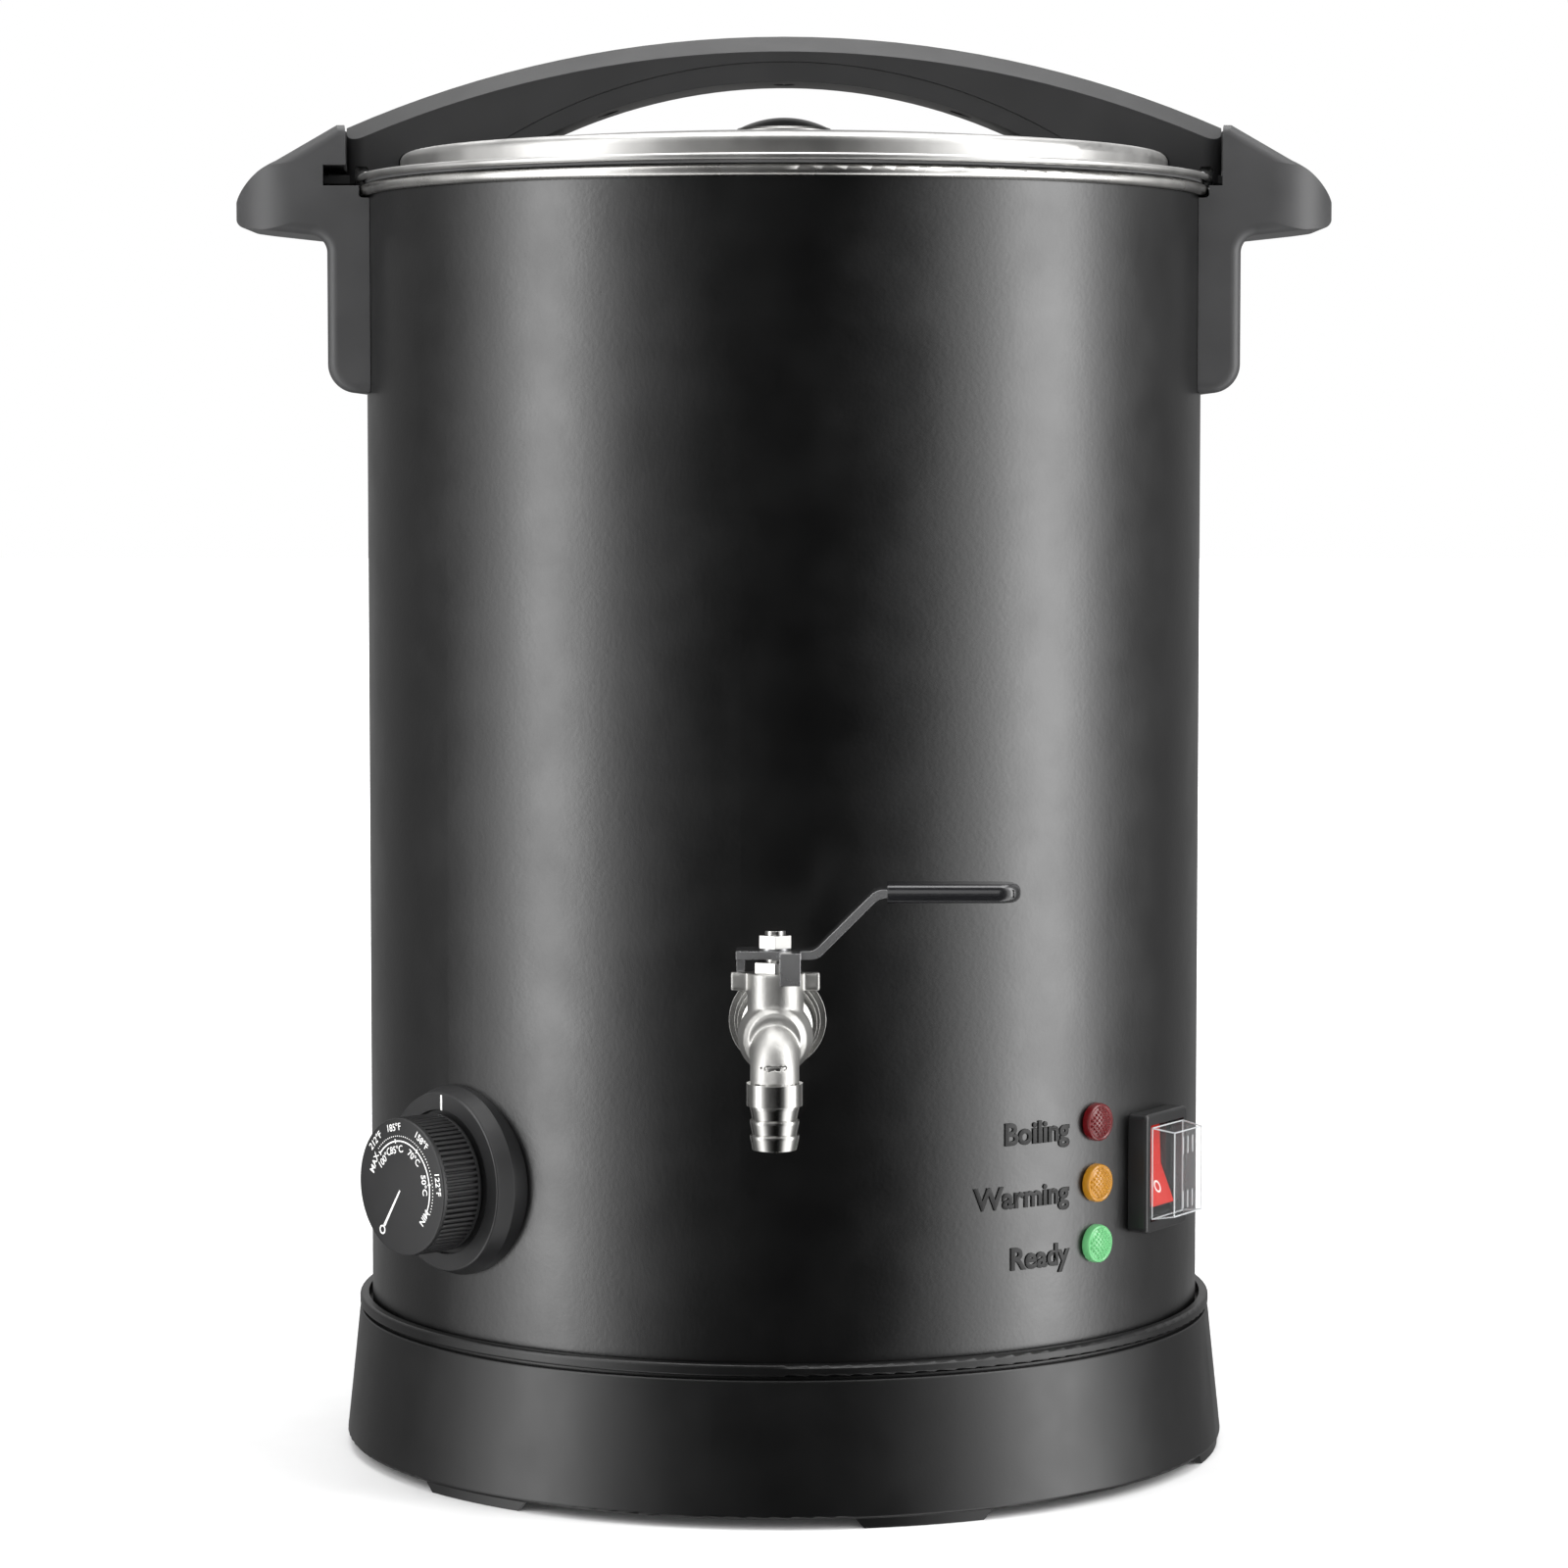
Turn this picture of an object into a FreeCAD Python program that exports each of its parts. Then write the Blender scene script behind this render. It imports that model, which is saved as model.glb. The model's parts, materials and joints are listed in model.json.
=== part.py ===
"""Electric brew kettle: painted drum, bayonet lid with arch handle, tap, dial, lamps and switch.

Millimetres. +Z is up, the origin is the centre of the foot ring at table level, and the tap
points towards -Y. Every size that can be set by itself is a cell of the sheet "Sizes".
"""
import FreeCAD, Part
import math
import os
import re
import Sketcher

Vector = FreeCAD.Vector

SIZES = {
    # Drum and inner pot
    "drum_radius": 130.0,
    "shell_wall": 0.8,
    "drum_top": 389.5,
    "pot_gap": 5.1,
    "pot_wall": 0.7,
    "pot_floor": 128.0,
    "pot_corner": 10.0,
    "rim_overhang": 2.4,
    "rim_height": 3.5,
    "rim_round": 1.2,
    # Base
    "skirt_top": 43.0,
    "bead_reach": 4.0,
    "skirt_flare": 4.0,
    "skirt_wall": 2.7,
    "shelf_inset": 9.0,
    "shelf_thickness": 2.6,
    "pad_height": 3.0,
    "pad_count": 6,
    "pad_angle": 18.0,
    "pad_slant": 2.5,
    "pad_phase": -12.5,
    "foot_width": 3.6,
    "bead_height": 4.5,
    "bead_gap": 1.2,
    "groove_height": 1.0,
    "groove_depth": 1.8,
    "cover_height": 5.4,
    "cover_thickness": 2.2,
    "boss_radius": 5.0,
    "boss_inset": 8.5,
    "boss_count": 3,
    "base_screw": 1.75,
    # Lid
    "lid_overhang": 0.6,
    "lid_sheet": 0.8,
    "lid_edge": 1.0,
    "flange_rise": 6.6,
    "band_inset": 4.6,
    "band_height": 6.9,
    "band_round": 3.0,
    "dome_height": 5.6,
    "vent_hole": 4.2,
    "vent_ring_radius": 15.2,
    "vent_ring_height": 2.9,
    "vent_step": 1.2,
    "vent_cap_height": 3.4,
    "seal_inset": 2.0,
    "seal_lip": 5.3,
    "seal_gap": 0.3,
    # Arch handle on the lid
    "arch_rise": 30.9,
    "arch_drop": 28.73,
    "arch_width": 28.0,
    "arch_overhang": 3.0,
    "arch_line_drop": 8.3,
    "arch_line_sag": 25.32,
    "arch_depth": 14.4,
    "grip_spread": 1.5,
    "arch_foot": 44.0,
    "grip_step": 0.15,
    "arch_bevel": 5.2,
    "arch_bevel_width": 8.0,
    "arch_corner": 6.0,
    "arch_clearance": 0.3,
    "tongue_length": 7.0,
    "tongue_rise": 4.3,
    "tongue_thickness": 2.6,
    "tongue_half_angle": 5.0,
    "grip_screw_inset": 34.0,
    "lid_screw_inset": 12.6,
    "lid_screw_gap": 14.0,
    "lid_screw": 2.0,
    # Side handles
    "handle_width": 56.0,
    "nose_depth": 14.0,
    "handle_wall": 10.4,
    "handle_drop": 60.5,
    "handle_foot_round": 9.0,
    "handle_rise": 14.9,
    "grip_drop": 12.0,
    "nose_lift": 3.0,
    "handle_nose_height": 7.0,
    "handle_nose_round": 20.0,
    "brow_depth": 20.0,
    "brow_rise": 10.7,
    "handle_brow_curve": 30.0,
    "handle_inner_round": 5.5,
    "handle_edge_round": 3.5,
    "handle_clearance": 1.2,
    "tongue_gap": 1.4,
    "handle_rim_gap": 0.8,
    "tongue_play": 1.0,
    "slot_play": 3.7,
    "slot_stop": 0.15,
    "handle_screw": 2.4,
    "handle_screw_rise": 16.0,
    "handle_screw_pitch": 25.0,
    # Dial
    "dial_azimuth": -48.0,
    "dial_height": 94.5,
    "dial_margin": 7.8,
    "bezel_slope": 1.6,
    "bezel_proud": 7.0,
    "bezel_taper": 5.0,
    "knob_radius": 20.5,
    "knob_gap": 0.6,
    "knob_depth": 14.4,
    "knob_edge": 1.0,
    "spindle_radius": 3.0,
    "bushing_radius": 5.5,
    "thermostat_inset": 6.0,
    "thermostat_depth": 25.0,
    # Lamps
    "lamp_azimuth": 45.3,
    "lamp_radius": 5.7,
    "lamp_lip": 1.1,
    "lamp_spacing": 18.2,
    "lamp_height": 94.3,
    "lamp_proud": 3.6,
    "lamp_depth": 22.0,
    # Switch
    "switch_azimuth": 58.5,
    "switch_height": 95.0,
    "frame_side": 2.8,
    "frame_end": 3.6,
    "frame_proud": 5.6,
    "switch_width": 21.4,
    "switch_tall": 28.8,
    "switch_proud": 1.4,
    "switch_depth": 25.4,
    "switch_wall": 1.1,
    "rocker_width": 14.0,
    "rocker_end_gap": 1.3,
    "rocker_sink": 4.8,
    "rocker_rise": 5.4,
    "rocker_dip": 3.4,
    "rocker_tilt": 12.0,
    "rocker_gap": 0.4,
    "rocker_pin": 1.5,
    "cover_proud": 7.0,
    "cover_taper": 9.0,
    "cover_wall": 0.8,
    # Mains inlet
    "inlet_azimuth": 180.0,
    "inlet_height": 86.0,
    "inlet_side": 2.0,
    "inlet_end": 5.0,
    "inlet_proud": 3.0,
    "inlet_body_width": 20.0,
    "inlet_body_tall": 28.0,
    "inlet_wall": 1.8,
    "inlet_depth": 17.0,
    "inlet_screw_margin": 6.0,
    "inlet_screw": 1.5,
    # Tap
    "tap_azimuth": -0.8,
    "tap_height": 148.0,
    "tap_offset": 42.0,
    "thread_radius": 10.2,
    "thread_gap": 0.4,
    "tap_bore": 4.2,
    "washer_lip": 3.8,
    "washer_thickness": 1.7,
    "gasket_inset": 0.8,
    "gasket_thickness": 1.4,
    "tail_flange": 12.4,
    "tail_neck": 10.6,
    "tail_ring": 11.5,
    "tail_waist": 9.4,
    "tail_tip": 8.4,
    "backnut_wall": 2.3,
    "backnut_thickness": 4.0,
    "chamber_wall": 3.7,
    "chamber_end": 4.4,
    "chamber_nose": 7.2,
    "seat_proud": 0.9,
    "seat_width": 2.3,
    "spout_wall": 1.4,
    "spout_socket": 5.0,
    "ball_radius": 6.6,
    "elbow_radius": 6.8,
    "elbow_gap": 6.5,
    "collar_step": 1.05,
    "collar_height": 6.3,
    "barb_radius": 6.9,
    "barb_waist": 6.2,
    "barb_pitch": 4.1,
    "barb_land": 0.8,
    "barb_count": 3,
    "spout_drop": 17.4,
    "neck_radius": 7.85,
    "neck_height": 11.5,
    "lug_reach": 12.45,
    "lug_height": 5.2,
    "lug_thickness": 2.4,
    "gland_flats": 11.3,
    "gland_height": 3.0,
    "stem_radius": 2.9,
    "stem_stub": 1.2,
    "running_gap": 0.06,
    # Lever
    "lever_gap": 1.0,
    "lever_thickness": 2.3,
    "lever_width": 10.0,
    "lever_bend": 10.8,
    "lever_rise": 17.3,
    "lever_length": 66.4,
    "lever_bend_round": 5.0,
    "tab_inner": 8.6,
    "tab_near": 1.4,
    "tab_width": 5.7,
    "tab_drop": 6.8,
    "lever_nut_flats": 8.9,
    "lever_nut_height": 3.6,
    "lever_washer": 0.6,
    "sleeve_lag": 3.1,
    "sleeve_thickness": 5.4,
    "sleeve_width": 13.0,
    "sleeve_end": 2.0,
    # Heater
    "plate_radius": 72.0,
    "plate_thickness": 5.0,
    "element_radius": 4.0,
    "element_ring": 52.0,
    "element_angle": 300.0,
    "bulb_radius": 3.0,
    "bulb_length": 60.0,
    "bulb_offset": 24.0,
    "cutout_radius": 8.5,
    "fit_gap": 0.1,
}

# Where pieces meet, from the sizes above
PLACES = {
    "pot_radius": "drum_radius - pot_gap",
    "rim_radius": "drum_radius + rim_overhang",
    "skirt_top_radius": "drum_radius + bead_reach",
    "skirt_foot_radius": "skirt_top_radius + skirt_flare",
    "shelf_radius": "drum_radius - shelf_inset",
    "boss_circle": "skirt_top_radius - boss_inset",
    "lid_radius": "rim_radius + lid_overhang",
    "lid_flange_top": "drum_top + flange_rise",
    "band_radius": "pot_radius - pot_wall - band_inset",
    "band_top": "lid_flange_top + band_height",
    "lid_crown": "band_top + dome_height",
    "seal_inner": "band_radius + seal_inset",
    "vent_cap_radius": "vent_ring_radius - vent_step",
    "arch_crown": "lid_crown + arch_rise",
    "arch_reach": "lid_radius + arch_overhang",
    "arch_curve": "(arch_drop^2 + (arch_reach + 1)^2) / (2 * arch_drop)",
    "arch_line": "arch_crown - arch_line_drop",
    "grip_foot": "lid_radius - arch_foot",
    "arch_line_curve": "(arch_line_sag^2 + grip_foot^2) / (2 * arch_line_sag)",
    "grip_curve": "arch_line_curve + grip_spread",
    "grip_screw_span": "grip_foot - grip_screw_inset",
    "lid_screw_reach": "band_radius - lid_screw_inset",
    "tongue_base": "drum_top + tongue_rise",
    "tongue_reach": "arch_reach + tongue_length",
    "handle_back": "drum_radius + handle_wall",
    "handle_brow_reach": "arch_reach + brow_depth",
    "handle_reach": "handle_brow_reach + nose_depth",
    "handle_foot": "drum_top - handle_drop",
    "handle_top": "lid_flange_top + handle_rise",
    "handle_under": "drum_top - grip_drop",
    "handle_nose": "handle_under + nose_lift",
    "handle_brow": "drum_top + brow_rise",
    "handle_floor": "tongue_base - tongue_gap",
    "slot_depth": "tongue_length - handle_clearance + tongue_play",
    "slot_height": "tongue_thickness + slot_play",
    "handle_screw_low": "handle_foot + handle_screw_rise",
    "handle_screw_high": "handle_screw_low + handle_screw_pitch",
    "bezel_radius": "knob_radius + dial_margin",
    "bezel_face_radius": "bezel_radius - bezel_slope",
    "bezel_face": "drum_radius + bezel_proud",
    "knob_back": "bezel_face + knob_gap",
    "knob_face": "knob_back + knob_depth",
    "thermostat_front": "drum_radius - thermostat_inset",
    "lamp_body_radius": "lamp_radius - lamp_lip",
    "switch_frame_width": "switch_width + 2 * frame_side",
    "switch_frame_height": "switch_tall + 2 * frame_end",
    "switch_frame_face": "drum_radius + frame_proud",
    "switch_face": "drum_radius + switch_proud",
    "switch_back": "switch_face - switch_depth",
    "rocker_half": "switch_tall / 2 - switch_wall - rocker_end_gap",
    "rocker_axis": "switch_face - rocker_sink",
    "cover_face": "switch_frame_face + cover_proud",
    "inlet_face": "drum_radius + inlet_proud",
    "inlet_flange_width": "inlet_body_width + 2 * inlet_side",
    "inlet_screw_span": "inlet_body_tall + 2 * inlet_screw_margin",
    "inlet_flange_tall": "inlet_screw_span + 2 * inlet_end",
    "inlet_socket_width": "inlet_body_width - 2 * inlet_wall",
    "inlet_socket_tall": "inlet_body_tall - 2 * inlet_wall",
    "tap_reach": "drum_radius + tap_offset",
    "washer_radius": "thread_radius + washer_lip",
    "gasket_radius": "washer_radius - gasket_inset",
    "backnut_flats": "2 * (thread_radius + backnut_wall)",
    "barb_top": "tap_height - spout_drop",
    "chamber_radius": "ball_radius + chamber_wall",
    "chamber_half_length": "ball_radius + chamber_end",
    "chamber_mouth": "tail_tip",
    "seat_face": "ball_radius + seat_proud",
    "seat_back": "seat_face - seat_width",
    "elbow_bend": "seat_face + elbow_gap",
    "neck_top": "ball_radius + neck_height",
    "collar_radius": "elbow_radius + collar_step",
    "lever_base": "neck_top + gland_height + lever_gap",
    "stem_top": "lever_base + lever_thickness + lever_washer + lever_nut_height + stem_stub",
}

doc = FreeCAD.newDocument("BrewKettle")
sheet = doc.addObject("Spreadsheet::Sheet", "Sizes")
cells = SIZES | {alias: "=" + formula for alias, formula in PLACES.items()}
for row, (alias, cell) in enumerate(cells.items(), 1):
    sheet.set(f"A{row}", alias)
    sheet.setAlias(f"B{row}", alias)
    sheet.set(f"B{row}", str(cell))
doc.recompute()

subparts = []

# Radius of the ball that the lid's domed top is part of
LID_DOME = "((band_radius - band_round)^2 + (lid_crown - band_top)^2) / (2 * (lid_crown - band_top))"


# ---------------------------------------------------------------- expressions, sketches, features
def link(formula):
    """Put the sheet's name before each of its aliases in a formula."""
    return re.sub(r"[A-Za-z_]\w*", lambda word: ("Sizes." if word[0] in cells else "") + word[0], formula)


def value(formula):
    """Return a formula's present number."""
    number = sheet.evalExpression(link(formula))
    return float(getattr(number, "Value", number))


def new_body(label, placement=None):
    """Start a sub-part; placement is an expression."""
    body = doc.addObject("PartDesign::Body", label)
    body.Label = label
    if placement:
        body.setExpression("Placement", link(placement))
    subparts.append(body)
    return body


def on_wall(azimuth, height):
    """Frame on the kettle's wall: x to the right, y up, z outwards from the kettle's axis."""
    return (
        f"placement(vector(0; 0; {height}); "
        f"rotation(vector(0; 0; 1); {azimuth}) * rotation(vector(1; 0; 0); 90))"
    )


def at_stem():
    """Frame at the tap's ball: z up the stem, -y outwards."""
    return (
        "placement(vector(tap_reach * sin(tap_azimuth); -tap_reach * cos(tap_azimuth); tap_height); "
        "rotation(vector(0; 0; 1); tap_azimuth))"
    )


def turned(angle):
    """Frame turned about the kettle's axis."""
    return f"placement(vector(0; 0; 0); rotation(vector(0; 0; 1); {angle}))"


def new_sketch(body, role, offset="0", turn=None):
    """Attach a sketch to one of its body's planes, offset along the normal, turned about its y."""
    sketch = body.newObject("Sketcher::SketchObject", body.Label + "_sketch")
    plane = next(item for item in body.Origin.OriginFeatures if item.Role == role)
    sketch.AttachmentSupport = [(plane, "")]
    sketch.MapMode = "FlatFace"
    if turn:
        rotation = FreeCAD.Rotation(Vector(0, 1, 0), value(turn))
        sketch.AttachmentOffset = FreeCAD.Placement(Vector(), rotation)
        sketch.setExpression("AttachmentOffset.Rotation.Angle", link(turn))
    sketch.setExpression("AttachmentOffset.Base.z", link(offset))
    return sketch


def fix_point(sketch, item, end, place):
    """Tie one point of a sketch to its two formulas."""
    for kind, axis, formula in (("DistanceX", -2, place[0]), ("DistanceY", -1, place[1])):
        if formula == "0":
            sketch.addConstraint(Sketcher.Constraint("PointOnObject", item, end, axis))
        else:
            constraint = Sketcher.Constraint(kind, -1, 1, item, end, value(formula))
            index = sketch.addConstraint(constraint)
            sketch.setExpression(f"Constraints[{index}]", link(formula))


def fix_radius(sketch, item, formula):
    """Tie a circle's or an arc's radius to its formula."""
    index = sketch.addConstraint(Sketcher.Constraint("Radius", item, value(formula)))
    sketch.setExpression(f"Constraints[{index}]", link(formula))


def arc_between(start, end, radius, far):
    """Arc from start to end; a positive radius turns left, and far takes the long way round."""
    chord = end - start
    half = chord.Length / 2
    height = math.sqrt(max(radius * radius - half * half, 0))
    left = Vector(-chord.y, chord.x, 0).normalize()
    side = math.copysign(1, radius) * (-1 if far else 1)
    centre = start + chord * 0.5 + left * (height * side)
    first, last = (start, end) if radius > 0 else (end, start)
    angles = [math.atan2(point.y - centre.y, point.x - centre.x) for point in (first, last)]
    if angles[1] <= angles[0]:
        angles[1] += 2 * math.pi
    circle = Part.Circle(centre, Vector(0, 0, 1), abs(radius))
    return Part.ArcOfCircle(circle, angles[0], angles[1])


def draw(sketch, *corners, closed=True):
    """Draw an outline. A corner is (x, y) or, where an arc starts, (x, y, radius[, "far"])."""
    points = [Vector(value(corner[0]), value(corner[1]), 0) for corner in corners]
    count = len(corners) if closed else len(corners) - 1
    ends = []
    for index in range(count):
        corner = corners[index]
        start = points[index]
        end = points[(index + 1) % len(points)]
        if len(corner) == 2:
            item = sketch.addGeometry(Part.LineSegment(start, end))
            ends.append((item, 1, 2))
        else:
            radius = value(corner[2])
            item = sketch.addGeometry(arc_between(start, end, radius, "far" in corner))
            ends.append((item, 1, 2) if radius > 0 else (item, 2, 1))
    for index, (item, head, _) in enumerate(ends):
        if index or closed:
            before, _, tail = ends[index - 1]
            sketch.addConstraint(Sketcher.Constraint("Coincident", before, tail, item, head))
        fix_point(sketch, item, head, corners[index])
    if not closed:
        fix_point(sketch, ends[-1][0], ends[-1][2], corners[-1])
    for index, ((item, head, _), corner) in enumerate(zip(ends, corners)):
        if len(corner) > 2:
            chord = points[(index + 1) % len(points)] - points[index]
            if abs(abs(value(corner[2])) - chord.Length / 2) < 1e-6:
                level = "Horizontal" if abs(chord.x) > abs(chord.y) else "Vertical"
                sketch.addConstraint(Sketcher.Constraint(level, item, 3, item, head))
            else:
                fix_radius(sketch, item, corner[2].lstrip("-"))
    return sketch


def draw_circle(sketch, centre, radius):
    """Draw a circle about a centre given as two formulas."""
    middle = Vector(value(centre[0]), value(centre[1]), 0)
    item = sketch.addGeometry(Part.Circle(middle, Vector(0, 0, 1), value(radius)))
    fix_point(sketch, item, 3, centre)
    fix_radius(sketch, item, radius)
    return sketch


def draw_box(sketch, width, height, centre=("0", "0")):
    """Draw a rectangle about a centre."""
    left, right = (f"{centre[0]} {sign} ({width}) / 2" for sign in "-+")
    low, high = (f"{centre[1]} {sign} ({height}) / 2" for sign in "-+")
    return draw(sketch, (left, low), (right, low), (right, high), (left, high))


def draw_hexagon(sketch, flats):
    """Draw a hexagon about the origin, given its width across flats."""
    corners = [
        (f"({flats}) / sqrt(3) * cos({60 * step + 30})", f"({flats}) / sqrt(3) * sin({60 * step + 30})")
        for step in range(6)
    ]
    return draw(sketch, *corners)


def add_feature(body, kind, profile, **numbers):
    """Add a sketch-based feature; numbers are formulas for its properties."""
    feature = body.newObject("PartDesign::" + kind, f"{body.Label}_{kind}")
    feature.Profile = profile
    for name, formula in numbers.items():
        feature.setExpression(name, link(formula))
    return feature


def pad(body, profile, length, both=False, back=False):
    """Extrude a sketch along its normal, both ways, or back against the normal."""
    feature = add_feature(body, "Pad", profile, Length=length)
    feature.SideType = "Symmetric" if both else "One side"
    feature.Reversed = back
    return feature


def pocket(body, profile, length, both=False, forward=False):
    """Cut a sketch's area out against its normal, both ways, or forward along the normal."""
    feature = add_feature(body, "Pocket", profile, Length=length)
    feature.SideType = "Symmetric" if both else "One side"
    feature.Reversed = forward
    return feature


def turn_about(body, kind, profile, axis="V_Axis", angle="360", both=False):
    """Revolve (Revolution) or cut round (Groove) a sketch about one of its own axes."""
    feature = body.newObject("PartDesign::" + kind, f"{body.Label}_{kind}")
    feature.Profile = profile
    feature.ReferenceAxis = (profile, [axis])
    feature.Midplane = both
    feature.setExpression("Angle", link(angle))
    return feature


def polar(body, features, count, role="Z_Axis"):
    """Repeat features round one of the body's axes."""
    pattern = body.newObject("PartDesign::PolarPattern", body.Label + "_pattern")
    pattern.Originals = features
    pattern.Axis = (next(item for item in body.Origin.OriginFeatures if item.Role == role), [""])
    pattern.Angle = 360
    pattern.setExpression("Occurrences", link(count))
    body.Tip = pattern
    return pattern


def dress(body, kind, size, wanted):
    """Fillet or chamfer the edges of the body's last feature that the test wanted picks."""
    doc.recompute()
    base = body.Tip
    names = [f"Edge{index}" for index, edge in enumerate(base.Shape.Edges, 1) if wanted(edge)]
    if not names:
        raise ValueError(f"{body.Label}: no edge for its {kind}")
    feature = body.newObject("PartDesign::" + kind, f"{body.Label}_{kind}")
    feature.Base = (base, names)
    feature.setExpression("Radius" if kind == "Fillet" else "Size", link(size))
    return feature


def upright(edge):
    """True for a straight edge along z."""
    box = edge.BoundBox
    return box.ZLength > 0.5 and box.XLength < 1e-4 and box.YLength < 1e-4


def drum_hole(body, azimuth, height, radius):
    """Bore one wall of a drum radially from its axis."""
    hole = draw_circle(new_sketch(body, "XZ_Plane", turn=azimuth), ("0", height), radius)
    pocket(body, hole, "drum_radius + 20", forward=True)


def drum_window(body, azimuth, height, width, tall):
    """Cut a rectangular window in one wall of a drum."""
    window = draw_box(new_sketch(body, "XZ_Plane", turn=azimuth), width, tall, ("0", height))
    pocket(body, window, "drum_radius + 20", forward=True)


def clear_of_drum(body):
    """Hollow a wall piece's back to the drum's curve."""
    drum = draw_circle(new_sketch(body, "XZ_Plane"), ("0", "0"), "drum_radius + fit_gap / 2")
    pocket(body, drum, "200", both=True)


# ---------------------------------------------------------------- base
def make_base_skirt():
    """Conical skirt with an inner shelf, a notched foot ring and bosses for the bottom cover."""
    body = new_body("base_skirt", turned("pad_phase"))
    foot_inner = "skirt_foot_radius - foot_width"
    profile = draw(
        new_sketch(body, "XZ_Plane"),
        ("shelf_radius", "skirt_top - shelf_thickness"),
        ("skirt_top_radius - skirt_wall", "skirt_top - shelf_thickness"),
        ("skirt_foot_radius - skirt_wall", "pad_height + foot_width"),
        (foot_inner + " - 0.6", "pad_height + foot_width"),
        (foot_inner, "0"),
        ("skirt_foot_radius - 0.9", "0"),
        ("skirt_foot_radius - 0.7", "pad_height", "1.3"),
        ("skirt_foot_radius", "pad_height + 1.1"),
        ("skirt_top_radius", "skirt_top - 0.7", "0.8"),
        ("skirt_top_radius - 0.7", "skirt_top"),
        ("shelf_radius", "skirt_top"),
    )
    turn_about(body, "Revolution", profile)
    half_notch = "skirt_foot_radius * sin((360 / pad_count - pad_angle) / 2)"
    notch = draw(
        new_sketch(body, "XZ_Plane"),
        (f"-({half_notch}) - pad_slant", "-1"),
        (f"{half_notch} + pad_slant", "-1"),
        (f"{half_notch} + pad_slant", "0"),
        (half_notch, "pad_height"),
        (f"-({half_notch})", "pad_height"),
        (f"-({half_notch}) - pad_slant", "0"),
    )
    cut = pocket(body, notch, "skirt_foot_radius + 5", forward=True)
    polar(body, [cut], "pad_count")
    boss = draw_circle(new_sketch(body, "XY_Plane", "skirt_top"), ("boss_circle", "0"), "boss_radius")
    post = pad(body, boss, "skirt_top - cover_height - cover_thickness - fit_gap", back=True)
    bore = new_sketch(body, "XY_Plane", "cover_height")
    draw_circle(bore, ("boss_circle", "0"), "base_screw")
    hole = pocket(body, bore, "14", forward=True)
    polar(body, [post, hole], "boss_count")


def make_base_collar():
    """Channel ring that holds the drum's foot, with the bead that stands above a shadow groove."""
    body = new_body("base_collar")
    profile = draw(
        new_sketch(body, "XZ_Plane"),
        ("drum_radius - 6", "skirt_top"),
        ("skirt_top_radius - groove_depth", "skirt_top"),
        ("skirt_top_radius - groove_depth", "skirt_top + groove_height"),
        ("skirt_top_radius - 0.8", "skirt_top + groove_height", "0.8"),
        ("skirt_top_radius", "skirt_top + groove_height + 0.8"),
        ("skirt_top_radius", "skirt_top + bead_height - 1", "1"),
        ("skirt_top_radius - 1", "skirt_top + bead_height"),
        ("drum_radius + bead_gap", "skirt_top + bead_height"),
        ("drum_radius + bead_gap", "skirt_top + groove_height"),
        ("drum_radius - shell_wall - fit_gap", "skirt_top + groove_height"),
        ("drum_radius - shell_wall - fit_gap", "skirt_top + bead_height"),
        ("drum_radius - 3", "skirt_top + bead_height"),
        ("drum_radius - 3", "skirt_top + groove_height + 0.6"),
        ("drum_radius - 6", "skirt_top + groove_height + 0.6"),
    )
    turn_about(body, "Revolution", profile)


def make_bottom_cover():
    """Flat cover inside the foot ring, with radial vents."""
    body = new_body("bottom_cover", turned("pad_phase"))
    rim = "skirt_foot_radius - foot_width - 1"
    disc = draw_circle(new_sketch(body, "XY_Plane", "cover_height"), ("0", "0"), rim)
    pad(body, disc, "cover_thickness")
    vent = draw(
        new_sketch(body, "XY_Plane", "cover_height"),
        ("30", "-2"),
        ("62", "-2", "2"),
        ("62", "2"),
        ("30", "2", "2"),
    )
    slot = pocket(body, vent, "cover_thickness", forward=True)
    polar(body, [slot], "12")
    bore = new_sketch(body, "XY_Plane", "cover_height")
    draw_circle(bore, ("boss_circle", "0"), "base_screw + fit_gap")
    hole = pocket(body, bore, "cover_thickness", forward=True)
    polar(body, [hole], "boss_count")


def make_bottom_screws():
    """Pan-head screws from below into the skirt's bosses."""
    body = new_body("bottom_screws", turned("pad_phase"))
    head = draw_circle(new_sketch(body, "XY_Plane", "cover_height"), ("boss_circle", "0"), "base_screw * 2")
    top = pad(body, head, "base_screw * 1.1", back=True)
    shank = new_sketch(body, "XY_Plane", "cover_height")
    draw_circle(shank, ("boss_circle", "0"), "base_screw")
    pin = pad(body, shank, "12")
    polar(body, [top, pin], "boss_count")


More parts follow.
